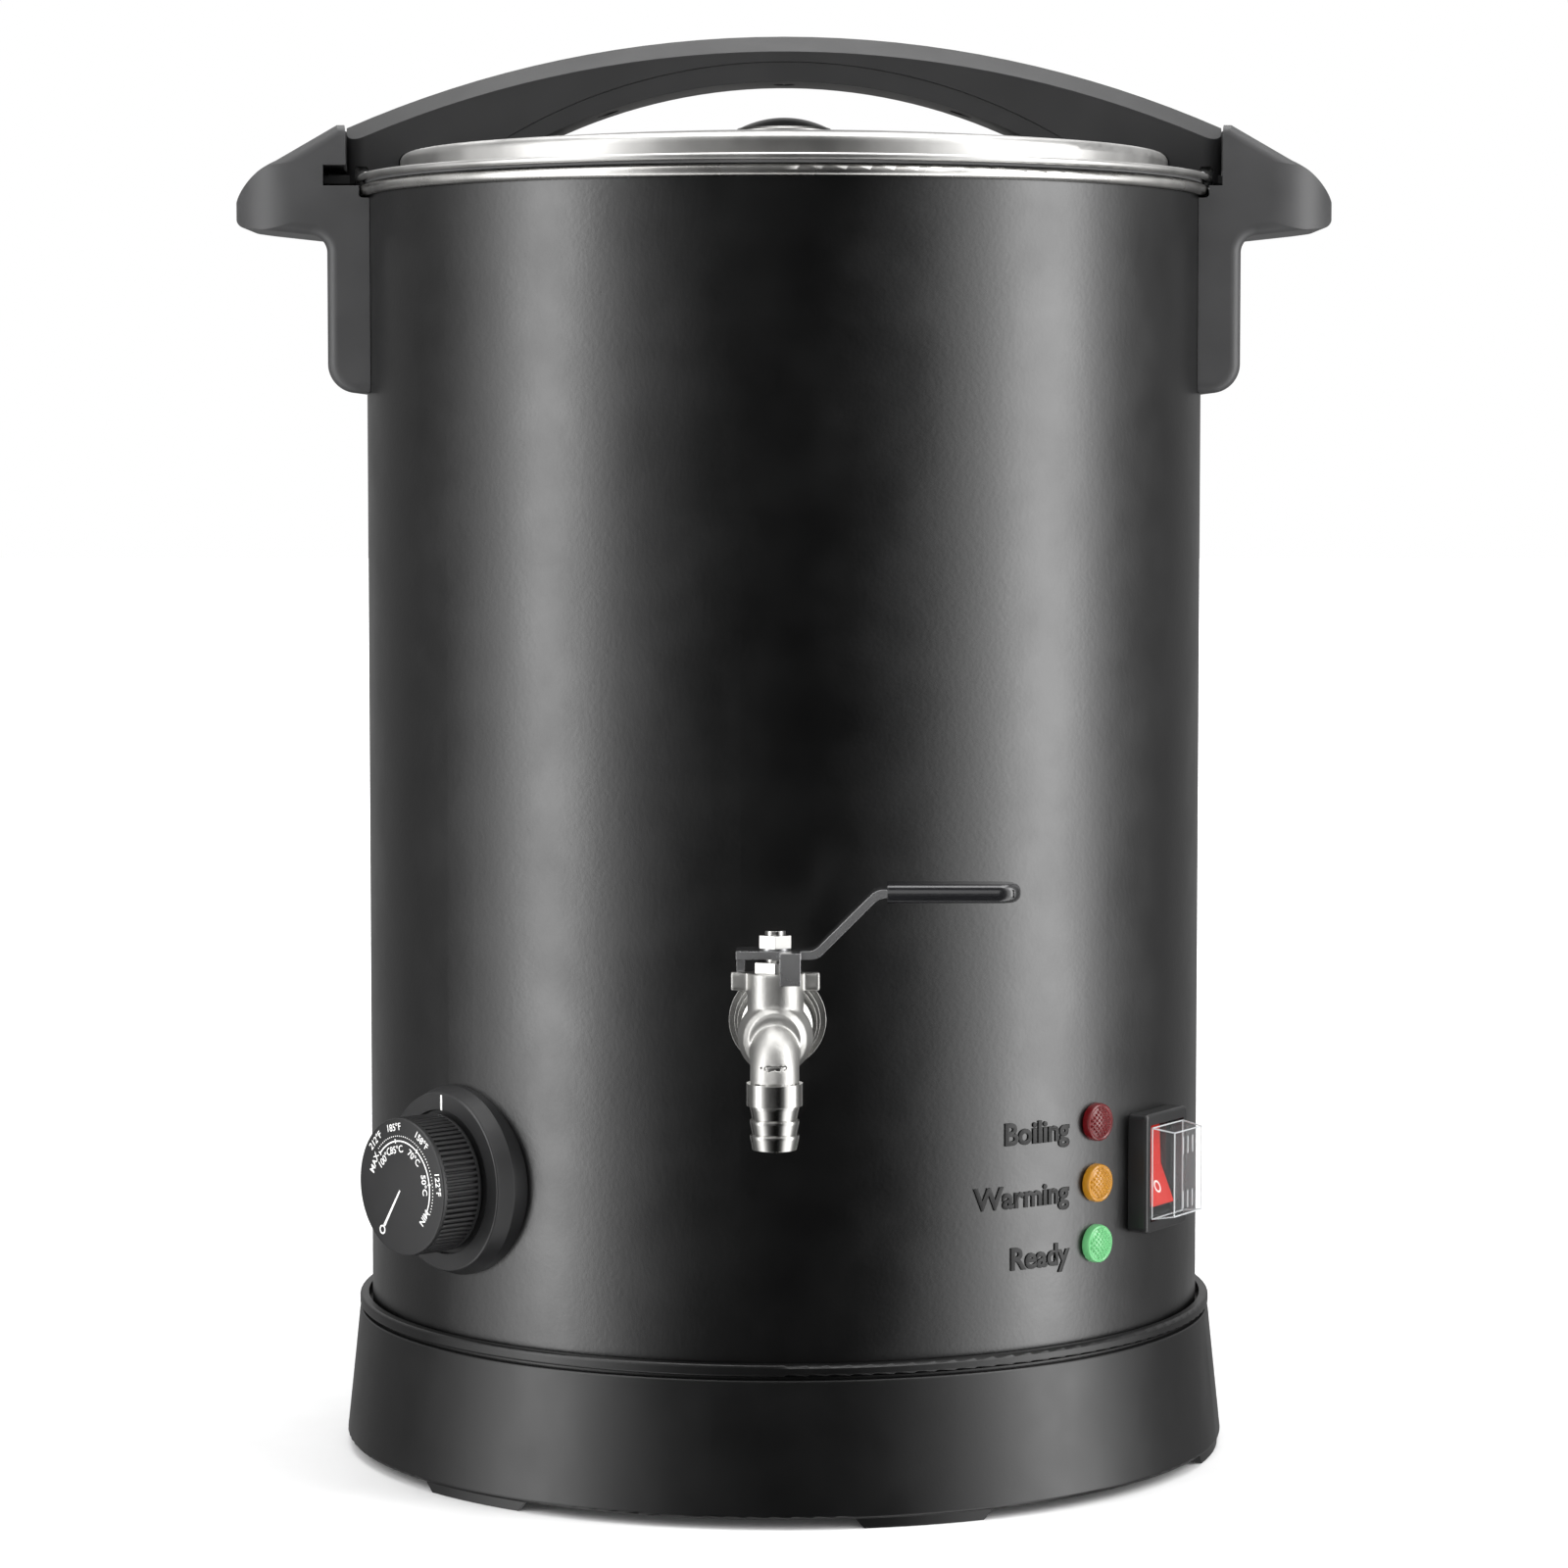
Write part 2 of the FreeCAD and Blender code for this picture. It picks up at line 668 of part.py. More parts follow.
# ---------------------------------------------------------------- drum and pot
def make_drum_shell():
    """Painted outer tube with its windows for the tap, dial, lamps, switch and mains inlet."""
    body = new_body("drum_shell")
    foot = "skirt_top + groove_height"
    profile = draw(
        new_sketch(body, "XZ_Plane"),
        ("drum_radius - shell_wall", foot),
        ("drum_radius", foot),
        ("drum_radius", "drum_top"),
        ("drum_radius - shell_wall", "drum_top"),
    )
    turn_about(body, "Revolution", profile)
    drum_hole(body, "tap_azimuth", "tap_height", "thread_radius + thread_gap")
    drum_hole(body, "dial_azimuth", "dial_height", "bushing_radius + fit_gap")
    for step in (-1, 0, 1):
        height = f"lamp_height + {step} * lamp_spacing"
        drum_hole(body, "lamp_azimuth", height, "lamp_body_radius + fit_gap")
    gap = " + 2 * fit_gap"
    drum_window(body, "switch_azimuth", "switch_height", "switch_width" + gap, "switch_tall" + gap)
    width = "inlet_body_width + 2 * fit_gap"
    drum_window(body, "inlet_azimuth", "inlet_height", width, "inlet_body_tall + 2 * fit_gap")
    for azimuth in ("90", "-90"):
        for height in ("handle_screw_low", "handle_screw_high"):
            drum_hole(body, azimuth, height, "handle_screw + fit_gap")


def make_inner_pot():
    """Spun stainless pot; its rolled rim rests on the drum's top edge."""
    body = new_body("inner_pot")
    outer = "pot_radius"
    inner = "pot_radius - pot_wall"
    foot = "pot_floor - pot_wall"
    top = "drum_top + rim_height"
    bead = "rim_height / 2"
    centre = f"rim_radius - {bead}"
    profile = draw(
        new_sketch(body, "XZ_Plane"),
        ("0", foot),
        (f"{outer} - pot_corner", foot, "pot_corner"),
        (outer, f"{foot} + pot_corner"),
        (outer, f"{top} - pot_wall"),
        (f"{centre} - sqrt(({bead})^2 - ({bead} - pot_wall)^2)", f"{top} - pot_wall", bead, "far"),
        (centre, top),
        (f"{inner} + rim_round", top, "rim_round"),
        (inner, f"{top} - rim_round"),
        (inner, f"{foot} + pot_corner", "-(pot_corner - pot_wall)"),
        (f"{outer} - pot_corner", "pot_floor"),
        ("0", "pot_floor"),
    )
    turn_about(body, "Revolution", profile)
    drum_hole(body, "tap_azimuth", "tap_height", "thread_radius + thread_gap")


def make_heater():
    """Heat plate, ring element with its two terminals, cut-out and sensing bulb under the pot."""
    plate_top = "pot_floor - pot_wall"
    plate_foot = "pot_floor - pot_wall - plate_thickness"
    plate = new_body("heat_plate")
    disc = draw_circle(new_sketch(plate, "XY_Plane", plate_top), ("0", "0"), "plate_radius")
    pad(plate, disc, "plate_thickness", back=True)

    element = new_body("heating_element")
    height = f"{plate_foot} - element_radius"
    ring = draw_circle(new_sketch(element, "XZ_Plane"), ("element_ring", height), "element_radius")
    turn_about(element, "Revolution", ring, angle="element_angle")
    for angle in ("0", "element_angle"):
        pin = new_sketch(element, "XY_Plane", height)
        place = (f"element_ring * cos({angle})", f"element_ring * sin({angle})")
        draw_circle(pin, place, "element_radius * 0.6")
        pad(element, pin, "20", back=True)

    cutout = new_body("thermal_cutout")
    can = draw_circle(new_sketch(cutout, "XY_Plane", plate_foot), ("0", "0"), "cutout_radius")
    pad(cutout, can, "9", back=True)
    for side in ("-", ""):
        tab = draw_box(new_sketch(cutout, "XY_Plane", f"{plate_foot} - 9"), "0.8", "4.8", (side + "5", "0"))
        pad(cutout, tab, "7", back=True)

    bulb = new_body("sensor_bulb")
    height = f"{plate_foot} - bulb_radius"
    rod = draw_circle(new_sketch(bulb, "YZ_Plane"), ("bulb_offset", height), "bulb_radius")
    pad(bulb, rod, "bulb_length", both=True)

    clip = new_body("bulb_clip")
    half = "bulb_radius + 1"
    strap = draw(
        new_sketch(clip, "YZ_Plane"),
        (f"bulb_offset - {half} - 6", plate_foot),
        (f"bulb_offset - {half} - 6", f"{plate_foot} - 1"),
        (f"bulb_offset - ({half})", f"{plate_foot} - 1"),
        (f"bulb_offset - ({half})", height, half),
        (f"bulb_offset + {half}", height),
        (f"bulb_offset + {half}", f"{plate_foot} - 1"),
        (f"bulb_offset + {half} + 6", f"{plate_foot} - 1"),
        (f"bulb_offset + {half} + 6", plate_foot),
    )
    pad(clip, strap, "10", both=True)
    seat = draw_circle(new_sketch(clip, "YZ_Plane"), ("bulb_offset", height), "bulb_radius")
    pocket(clip, seat, "12", both=True)
    mouth = new_sketch(clip, "YZ_Plane")
    draw_box(mouth, "bulb_radius * 2", "bulb_radius", ("bulb_offset", f"{plate_foot} - bulb_radius / 2"))
    pocket(clip, mouth, "12", both=True)


# ---------------------------------------------------------------- side handles
def make_side_handle(label, facing):
    """Moulded ear: bracket on the drum, sloping grip, and the slot that locks the lid's tongue."""
    body = new_body(label, turned(facing))
    side = draw(
        new_sketch(body, "XZ_Plane"),
        ("drum_radius - 12", "handle_foot"),
        ("handle_back - handle_foot_round", "handle_foot", "handle_foot_round"),
        ("handle_back", "handle_foot + handle_foot_round"),
        ("handle_back", "handle_under - handle_inner_round", "-handle_inner_round"),
        ("handle_back + handle_inner_round", "handle_under"),
        ("handle_reach - 4", "handle_nose - 0.8", "5"),
        ("handle_reach", "handle_nose + 2.6"),
        ("handle_reach", "handle_nose + handle_nose_height", "handle_brow_curve"),
        ("handle_brow_reach", "handle_brow"),
        ("arch_reach + handle_clearance", "handle_top"),
        ("drum_radius - 12", "handle_top"),
    )
    pad(body, side, "handle_width", both=True)
    dress(body, "Fillet", "handle_edge_round", handle_outer_edge)
    plan = new_sketch(body, "XY_Plane")
    nose = "handle_reach - handle_nose_round"
    half = "handle_width / 2"
    draw(
        plan,
        ("0", f"-({half})"),
        (nose, f"-({half})", "handle_nose_round"),
        ("handle_reach", f"-({half}) + handle_nose_round"),
        ("handle_reach", f"{half} - handle_nose_round", "handle_nose_round"),
        (nose, half),
        ("0", half),
    )
    draw_box(plan, "handle_reach * 2.4", "handle_width * 2")
    pocket(body, plan, "handle_top + 10", forward=True)
    bay = "arch_reach + handle_clearance"
    rim = "rim_radius + handle_rim_gap"
    hollow = draw(
        new_sketch(body, "XZ_Plane"),
        ("0", "handle_foot - 10"),
        ("drum_radius + fit_gap / 2", "handle_foot - 10"),
        ("drum_radius + fit_gap / 2", "drum_top - handle_rim_gap"),
        (f"{rim} - 1", "drum_top - handle_rim_gap", "1"),
        (rim, "drum_top - handle_rim_gap + 1"),
        (rim, "handle_floor"),
        (bay, "handle_floor"),
        (bay, "handle_top + 10"),
        ("0", "handle_top + 10"),
    )
    turn_about(body, "Groove", hollow)
    slot = draw(
        new_sketch(body, "XZ_Plane", turn="-tongue_half_angle - slot_stop"),
        ("drum_radius", "handle_floor"),
        (f"{bay} + slot_depth", "handle_floor"),
        (f"{bay} + slot_depth", "handle_floor + slot_height"),
        ("drum_radius", "handle_floor + slot_height"),
    )
    turn_about(body, "Groove", slot, angle="25")
    for height in ("handle_screw_low", "handle_screw_high"):
        bore = draw_circle(new_sketch(body, "YZ_Plane"), ("0", height), "handle_screw")
        pocket(body, bore, "drum_radius + 7.5", forward=True)


def handle_outer_edge(edge):
    """True for the side handle's front and back edges away from the drum."""
    box = edge.BoundBox
    flat = box.YLength < 1e-4
    outside = box.XMin > value("drum_radius - 12") + 0.5 or box.ZLength < 1e-4
    return flat and outside


def make_handle_screws():
    """Screws from inside the drum's wall into the two handles."""
    body = new_body("handle_screws")
    inner = "drum_radius - shell_wall"
    features = []
    for height in ("handle_screw_low", "handle_screw_high"):
        head = new_sketch(body, "YZ_Plane", f"{inner} - 0.2")
        draw_circle(head, ("0", height), "handle_screw * 1.8")
        features.append(pad(body, head, "handle_screw", back=True))
        shank = draw_circle(new_sketch(body, "YZ_Plane", f"{inner} - 0.2"), ("0", height), "handle_screw")
        features.append(pad(body, shank, "7.5"))
    polar(body, features, "2")


# ---------------------------------------------------------------- lid
def lid_outline(sketch, gap, foot):
    """Area under the lid's outer skin, grown by a gap: what the arch handle stands clear of."""
    return draw(
        sketch,
        ("0", foot),
        (f"lid_radius + {gap} + 0.1", foot),
        (f"lid_radius + {gap} + 0.1", f"lid_flange_top + {gap} + 1.6", "1"),
        (f"lid_radius + {gap} - 0.9", f"lid_flange_top + {gap} + 2.6"),
        (f"lid_radius + {gap} - 2.9", f"lid_flange_top + {gap} + 2.6", "1"),
        (f"lid_radius + {gap} - 3.9", f"lid_flange_top + {gap} + 1.6"),
        (f"lid_radius + {gap} - 3.9", f"lid_flange_top + {gap}"),
        (f"band_radius + {gap}", f"lid_flange_top + {gap}"),
        (f"band_radius + {gap}", f"band_top - band_round", f"band_round + {gap}"),
        ("band_radius - band_round", f"band_top + {gap}", LID_DOME),
        ("0", f"lid_crown + {gap}"),
    )


def make_lid_disc():
    """Spun lid: domed top, rounded band and a flat flange with a rolled edge."""
    body = new_body("lid_disc")
    under = "lid_flange_top - lid_sheet"
    edge = "lid_radius - lid_edge"
    inner_edge = f"{edge} - sqrt(lid_edge^2 - (lid_edge - lid_sheet)^2)"
    profile = draw(
        new_sketch(body, "XZ_Plane"),
        ("vent_hole", "lid_crown", f"-({LID_DOME})"),
        ("band_radius - band_round", "band_top", "-band_round"),
        ("band_radius", "band_top - band_round"),
        ("band_radius", "lid_flange_top"),
        (edge, "lid_flange_top", "-lid_edge", "far"),
        (inner_edge, under),
        ("band_radius - lid_sheet", under),
        ("band_radius - lid_sheet", "band_top - band_round", "band_round - lid_sheet"),
        ("band_radius - band_round", "band_top - lid_sheet", LID_DOME),
        ("vent_hole", "lid_crown - lid_sheet"),
    )
    turn_about(body, "Revolution", profile)
    for side in ("-1", "1"):
        for row in ("-1", "1"):
            hole = new_sketch(body, "XY_Plane", "band_top - 6")
            place = (f"{side} * lid_screw_reach", f"{row} * lid_screw_gap / 2")
            draw_circle(hole, place, "lid_screw + fit_gap")
            pocket(body, hole, "20", forward=True)


def make_lid_screws():
    """Screws through the lid up into the arch handle's two feet."""
    body = new_body("lid_screws")
    sheet_foot = "band_top - lid_sheet - 0.2"
    for side in ("-1", "1"):
        for row in ("-1", "1"):
            place = (f"{side} * lid_screw_reach", f"{row} * lid_screw_gap / 2")
            head = draw_circle(new_sketch(body, "XY_Plane", sheet_foot), place, "lid_screw * 1.9")
            pad(body, head, "lid_screw", back=True)
            shank = draw_circle(new_sketch(body, "XY_Plane", sheet_foot), place, "lid_screw")
            pad(body, shank, "12")


def make_lid_seal():
    """Silicone ring: a flat under the lid's flange and a lip inside the pot's rim."""
    body = new_body("lid_seal")
    top = "lid_flange_top - lid_sheet - seal_gap / 3"
    rim = "drum_top + rim_height + seal_gap"
    lip = "pot_radius - pot_wall - 2 * seal_gap"
    outer = "lid_radius - 2 * lid_edge - seal_gap"
    profile = draw(
        new_sketch(body, "XZ_Plane"),
        ("seal_inner", f"{rim} - seal_lip"),
        (f"{lip} - 0.8", f"{rim} - seal_lip", "0.8"),
        (lip, f"{rim} - seal_lip + 0.8"),
        (lip, rim),
        (outer, rim),
        (outer, top),
        ("seal_inner", top),
    )
    turn_about(body, "Revolution", profile)


def make_vent():
    """Centre fitting: steel ring on the lid, domed black cap with its stem, and a nut below."""
    ring = new_body("vent_ring")
    top = "lid_crown + vent_ring_height"
    profile = draw(
        new_sketch(ring, "XZ_Plane"),
        ("vent_hole", "lid_crown"),
        ("vent_ring_radius", "lid_crown"),
        ("vent_ring_radius", f"{top} - 0.8"),
        ("vent_ring_radius - 0.8", top),
        ("vent_hole", top),
    )
    turn_about(ring, "Revolution", profile)

    cap = new_body("vent_cap")
    stem = "vent_hole - fit_gap"
    profile = draw(
        new_sketch(cap, "XZ_Plane"),
        ("0", "lid_crown - 6"),
        (stem, "lid_crown - 6"),
        (stem, top),
        ("vent_cap_radius", top, "(vent_cap_radius^2 + vent_cap_height^2) / (2 * vent_cap_height)"),
        ("0", f"{top} + vent_cap_height"),
    )
    turn_about(cap, "Revolution", profile)

    nut = new_body("vent_nut")
    face = new_sketch(nut, "XY_Plane", "lid_crown - lid_sheet - fit_gap")
    draw_hexagon(face, "13")
    draw_circle(face, ("0", "0"), "vent_hole")
    pad(nut, face, "3.5", back=True)


def make_arch_handle():
    """Arch across the lid, with bevelled top edges, hollowed feet and the two bayonet tongues."""
    body = new_body("arch_handle")
    end = "arch_reach + 1"
    end_top = f"arch_crown - arch_curve + sqrt(arch_curve^2 - ({end})^2)"
    line_top = "arch_line - arch_line_curve + sqrt(arch_line_curve^2 - grip_foot^2)"
    side = draw(
        new_sketch(body, "XZ_Plane"),
        (f"-({end})", "tongue_base"),
        ("-grip_foot", "tongue_base"),
        ("-grip_foot", line_top, "-arch_line_curve"),
        ("grip_foot", line_top),
        ("grip_foot", "tongue_base"),
        (end, "tongue_base"),
        (end, end_top, "arch_curve"),
        (f"-({end})", end_top),
    )
    pad(body, side, "arch_width", both=True)
    trim = draw(
        new_sketch(body, "XZ_Plane"),
        ("arch_reach", "tongue_base - 5"),
        ("arch_reach + 20", "tongue_base - 5"),
        ("arch_reach + 20", "arch_crown"),
        ("arch_reach", "arch_crown"),
    )
    turn_about(body, "Groove", trim)
    dress(body, "Fillet", "arch_corner", arch_end_corner)
    bevel = draw(
        new_sketch(body, "YZ_Plane"),
        ("arch_width / 2 - arch_bevel_width", "arch_crown - arch_curve + 500"),
        ("arch_width / 2 - arch_bevel_width", "arch_crown"),
        ("arch_width / 2", "arch_crown - arch_bevel"),
        ("arch_width / 2 + 5", "arch_crown - arch_bevel"),
        ("arch_width / 2 + 5", "arch_crown - arch_curve + 500"),
    )
    axis = bevel.addGeometry(Part.LineSegment(Vector(-1, 0, 0), Vector(1, 0, 0)), True)
    for end_point, across in ((1, "-1"), (2, "1")):
        fix_point(bevel, axis, end_point, (across, "arch_crown - arch_curve"))
    cut = turn_about(body, "Groove", bevel, "Axis0", "60", both=True)
    mirror = body.newObject("PartDesign::Mirrored", "arch_handle_mirror")
    mirror.Originals = [cut]
    mirror.MirrorPlane = (next(p for p in body.Origin.OriginFeatures if p.Role == "XZ_Plane"), [""])
    body.Tip = mirror
    turn_about(body, "Groove", lid_outline(new_sketch(body, "XZ_Plane"), "arch_clearance", "tongue_base - 5"))
    tongue = draw(
        new_sketch(body, "XZ_Plane"),
        ("lid_radius + arch_clearance + 0.1", "tongue_base"),
        ("tongue_reach", "tongue_base"),
        ("tongue_reach", "tongue_base + tongue_thickness"),
        ("lid_radius + arch_clearance + 0.1", "tongue_base + tongue_thickness"),
    )
    sector = turn_about(body, "Revolution", tongue, angle="2 * tongue_half_angle", both=True)
    polar(body, [sector], "2")
    for place in (("-grip_screw_span", "0"), ("0", "0"), ("grip_screw_span", "0")):
        hole = draw_circle(new_sketch(body, "XY_Plane", "band_top"), place, "1.5")
        pocket(body, hole, "arch_line - band_top + 3", forward=True)
    for side_sign in ("-1", "1"):
        for row in ("-1", "1"):
            place = (f"{side_sign} * lid_screw_reach", f"{row} * lid_screw_gap / 2")
            hole = draw_circle(new_sketch(body, "XY_Plane", "band_top - 1"), place, "lid_screw")
            pocket(body, hole, "12", forward=True)


def arch_end_corner(edge):
    """True for the upright corners at the arch handle's ends."""
    box = edge.BoundBox
    outside = min(abs(box.XMin), abs(box.XMax)) > value("arch_reach - 3")
    return outside and box.ZLength > 5 and box.YLength < 1 and box.XLength < 1


def make_arch_grip():
    """Lower grip moulding that closes the arch's underside, on three recessed screws."""
    body = new_body("arch_grip")
    line_top = "arch_line - fit_gap - arch_line_curve + sqrt(arch_line_curve^2 - (grip_foot - fit_gap)^2)"
    crown = "arch_crown - arch_depth"
    foot = "grip_foot - 12"
    foot_top = f"{crown} - grip_curve + sqrt(grip_curve^2 - ({foot})^2)"
    side = draw(
        new_sketch(body, "XZ_Plane"),
        ("-grip_foot + fit_gap", "band_top"),
        (f"-({foot})", "band_top"),
        (f"-({foot})", foot_top, "-grip_curve"),
        (foot, foot_top),
        (foot, "band_top"),
        ("grip_foot - fit_gap", "band_top"),
        ("grip_foot - fit_gap", line_top, "arch_line_curve"),
        ("-grip_foot + fit_gap", line_top),
    )
    pad(body, side, "arch_width - 2 * grip_step", both=True)
    turn_about(body, "Groove", lid_outline(new_sketch(body, "XZ_Plane"), "arch_clearance", "band_top - 5"))
    for reach, depth in (("-1", "4"), ("0", "2.2"), ("1", "4")):
        across = f"{reach} * grip_screw_span" if reach != "0" else "0"
        level = f"{crown} - grip_curve + sqrt(grip_curve^2 - ({reach} * grip_screw_span)^2)"
        seat = draw_circle(new_sketch(body, "XY_Plane", f"{level} - 4"), (across, "0"), "3.4")
        pocket(body, seat, f"4 + {depth}", forward=True)
        hole = draw_circle(new_sketch(body, "XY_Plane", f"{level} - 4"), (across, "0"), "1.6")
        pocket(body, hole, "20", forward=True)

    screws = new_body("grip_screws")
    for reach, depth in (("-1", "4"), ("0", "2.2"), ("1", "4")):
        across = f"{reach} * grip_screw_span" if reach != "0" else "0"
        level = f"{crown} - grip_curve + sqrt(grip_curve^2 - ({reach} * grip_screw_span)^2) + {depth}"
        head = draw_circle(new_sketch(screws, "XY_Plane", f"{level} - fit_gap"), (across, "0"), "3")
        pad(screws, head, "1.8", back=True)
        shank = draw_circle(new_sketch(screws, "XY_Plane", f"{level} - fit_gap"), (across, "0"), "1.5")
        pad(screws, shank, "6")


# ---------------------------------------------------------------- dial
def make_dial():
    """Fixed ring on the drum, knob on the thermostat's spindle, and the thermostat behind."""
    wall = on_wall("dial_azimuth", "dial_height")
    bezel = new_body("dial_bezel", wall)
    profile = draw(
        new_sketch(bezel, "XZ_Plane"),
        ("bushing_radius + fit_gap", "drum_radius - 6"),
        ("bezel_radius", "drum_radius - 6"),
        ("bezel_radius", "bezel_face - bezel_taper"),
        ("bezel_face_radius", "bezel_face - 0.6", "0.6"),
        ("bezel_face_radius - 0.6", "bezel_face"),
        ("knob_radius + 1", "bezel_face"),
        ("knob_radius + 1", "bezel_face - 1.5"),
        ("bushing_radius + fit_gap", "bezel_face - 1.5"),
    )
    turn_about(bezel, "Revolution", profile)
    hollow = draw_circle(new_sketch(bezel, "XZ_Plane"), ("0", "0"), "drum_radius + fit_gap / 2")
    pocket(bezel, hollow, "200", both=True)

    knob = new_body("dial_knob", wall)
    profile = draw(
        new_sketch(knob, "XZ_Plane"),
        ("0", "knob_face - 4"),
        ("spindle_radius", "knob_face - 4"),
        ("spindle_radius", "knob_back"),
        ("knob_radius", "knob_back"),
        ("knob_radius", "knob_face - knob_edge", "knob_edge"),
        ("knob_radius - knob_edge", "knob_face"),
        ("0", "knob_face"),
    )
    turn_about(knob, "Revolution", profile)

    spindle = new_body("dial_spindle", wall)
    rod = new_sketch(spindle, "XY_Plane", "thermostat_front + 1")
    draw_circle(rod, ("0", "0"), "spindle_radius - fit_gap / 5")
    pad(spindle, rod, "knob_face - 4.2 - thermostat_front - 1")

    thermostat = new_body("thermostat_body", wall)
    case = draw_box(new_sketch(thermostat, "XY_Plane", "thermostat_front"), "34", "42")
    pad(thermostat, case, "thermostat_depth", back=True)
    neck = draw_circle(new_sketch(thermostat, "XY_Plane", "thermostat_front"), ("0", "0"), "bushing_radius")
    pad(thermostat, neck, "bezel_face - 1.5 - thermostat_front")
    bore = new_sketch(thermostat, "XY_Plane", "thermostat_front - 1")
    draw_circle(bore, ("0", "0"), "spindle_radius + running_gap")
    pocket(thermostat, bore, "30", forward=True)


# ---------------------------------------------------------------- lamps
def make_lamp(label, step):
    """Domed lens on a flange, with its body behind the wall."""
    body = new_body(label, on_wall("lamp_azimuth", f"lamp_height + {step} * lamp_spacing"))
    back = "drum_radius + fit_gap"
    crown_radius = "(lamp_radius^2 + (lamp_proud - 1.2)^2) / (2 * (lamp_proud - 1.2))"
    profile = draw(
        new_sketch(body, "XZ_Plane"),
        ("0", "drum_radius - lamp_depth"),
        ("lamp_body_radius", "drum_radius - lamp_depth"),
        ("lamp_body_radius", back),
        ("lamp_radius", back),
        ("lamp_radius", f"{back} + 1.2", crown_radius),
        ("0", f"{back} + lamp_proud"),
    )
    turn_about(body, "Revolution", profile)


# ---------------------------------------------------------------- switch
def make_switch():
    """Frame, housing, rocker on its pins, clear cover and the blade terminals."""
    wall = on_wall("switch_azimuth", "switch_height")
    inside = "switch_width + 4 * fit_gap"
    tall_inside = "switch_tall + 4 * fit_gap"
    frame = new_body("switch_frame", wall)
    behind = "drum_radius - 6"
    face = draw_box(new_sketch(frame, "XY_Plane", behind), "switch_frame_width", "switch_frame_height")
    pad(frame, face, f"switch_frame_face - ({behind})")
    dress(frame, "Fillet", "2", upright)
    dress(frame, "Fillet", "1", front_edge)
    clear_of_drum(frame)
    opening = draw_box(new_sketch(frame, "XY_Plane", behind), inside, tall_inside)
    pocket(frame, opening, "30", forward=True)

    housing = new_body("switch_housing", wall)
    block = draw_box(new_sketch(housing, "XY_Plane", "switch_back"), "switch_width", "switch_tall")
    pad(housing, block, "switch_face - switch_back")
    well_floor = "rocker_axis - rocker_rise - 2.6"
    well = new_sketch(housing, "XY_Plane", well_floor)
    draw_box(well, "rocker_width + 2 * rocker_gap", "switch_tall - 2 * switch_wall")
    pocket(housing, well, "40", forward=True)
    seat = draw_circle(new_sketch(housing, "YZ_Plane"), ("0", "rocker_axis"), "rocker_pin + running_gap")
    pocket(housing, seat, "rocker_width + 4 * rocker_gap + 2.4", both=True)

    pivot = (
        "placement("
        "vector(rocker_axis * sin(switch_azimuth); -rocker_axis * cos(switch_azimuth); switch_height); "
        "rotation(vector(0; 0; 1); switch_azimuth) * rotation(vector(1; 0; 0); 90 - rocker_tilt))"
    )
    rocker = new_body("switch_rocker", pivot)
    section = draw(
        new_sketch(rocker, "YZ_Plane"),
        ("-rocker_half", "rocker_rise"),
        ("-rocker_half + 1.5", "rocker_rise - 6.2"),
        ("-4", "-rocker_rise + 0.6", "8"),
        ("4", "-rocker_rise + 0.6"),
        ("rocker_half - 1.5", "rocker_rise - 6.2"),
        ("rocker_half", "rocker_rise"),
        ("0", "rocker_dip"),
    )
    pad(rocker, section, "rocker_width", both=True)
    pin = draw_circle(new_sketch(rocker, "YZ_Plane"), ("0", "0"), "rocker_pin")
    pad(rocker, pin, "rocker_width + 4 * rocker_gap + 1.6", both=True)

    cover = new_body("switch_cover", wall)
    foot = "switch_face + fit_gap"
    outer = draw_box(new_sketch(cover, "XY_Plane", foot), "switch_width", "switch_tall")
    block = pad(cover, outer, f"cover_face - ({foot})")
    block.setExpression("TaperAngle", link("-cover_taper"))
    dress(cover, "Fillet", "1.6", slanting)
    shrink = " - 2 * cover_wall"
    inner = draw_box(new_sketch(cover, "XY_Plane", foot), "switch_width" + shrink, "switch_tall" + shrink)
    hollow = pocket(cover, inner, f"cover_face - cover_wall - ({foot})", forward=True)
    hollow.setExpression("TaperAngle", link("-cover_taper"))

    blades = new_body("switch_terminals", wall)
    for across in ("-5", "5"):
        for up in ("-7", "7"):
            blade = draw_box(new_sketch(blades, "XY_Plane", "switch_back"), "0.8", "6.3", (across, up))
            pad(blades, blade, "9", back=True)


def front_edge(edge):
    """True for the edges round the switch frame's front face."""
    box = edge.BoundBox
    return box.ZMin > value("switch_frame_face") - 1e-4


def slanting(edge):
    """True for the four corner edges of a tapered box."""
    return edge.BoundBox.ZLength > 3


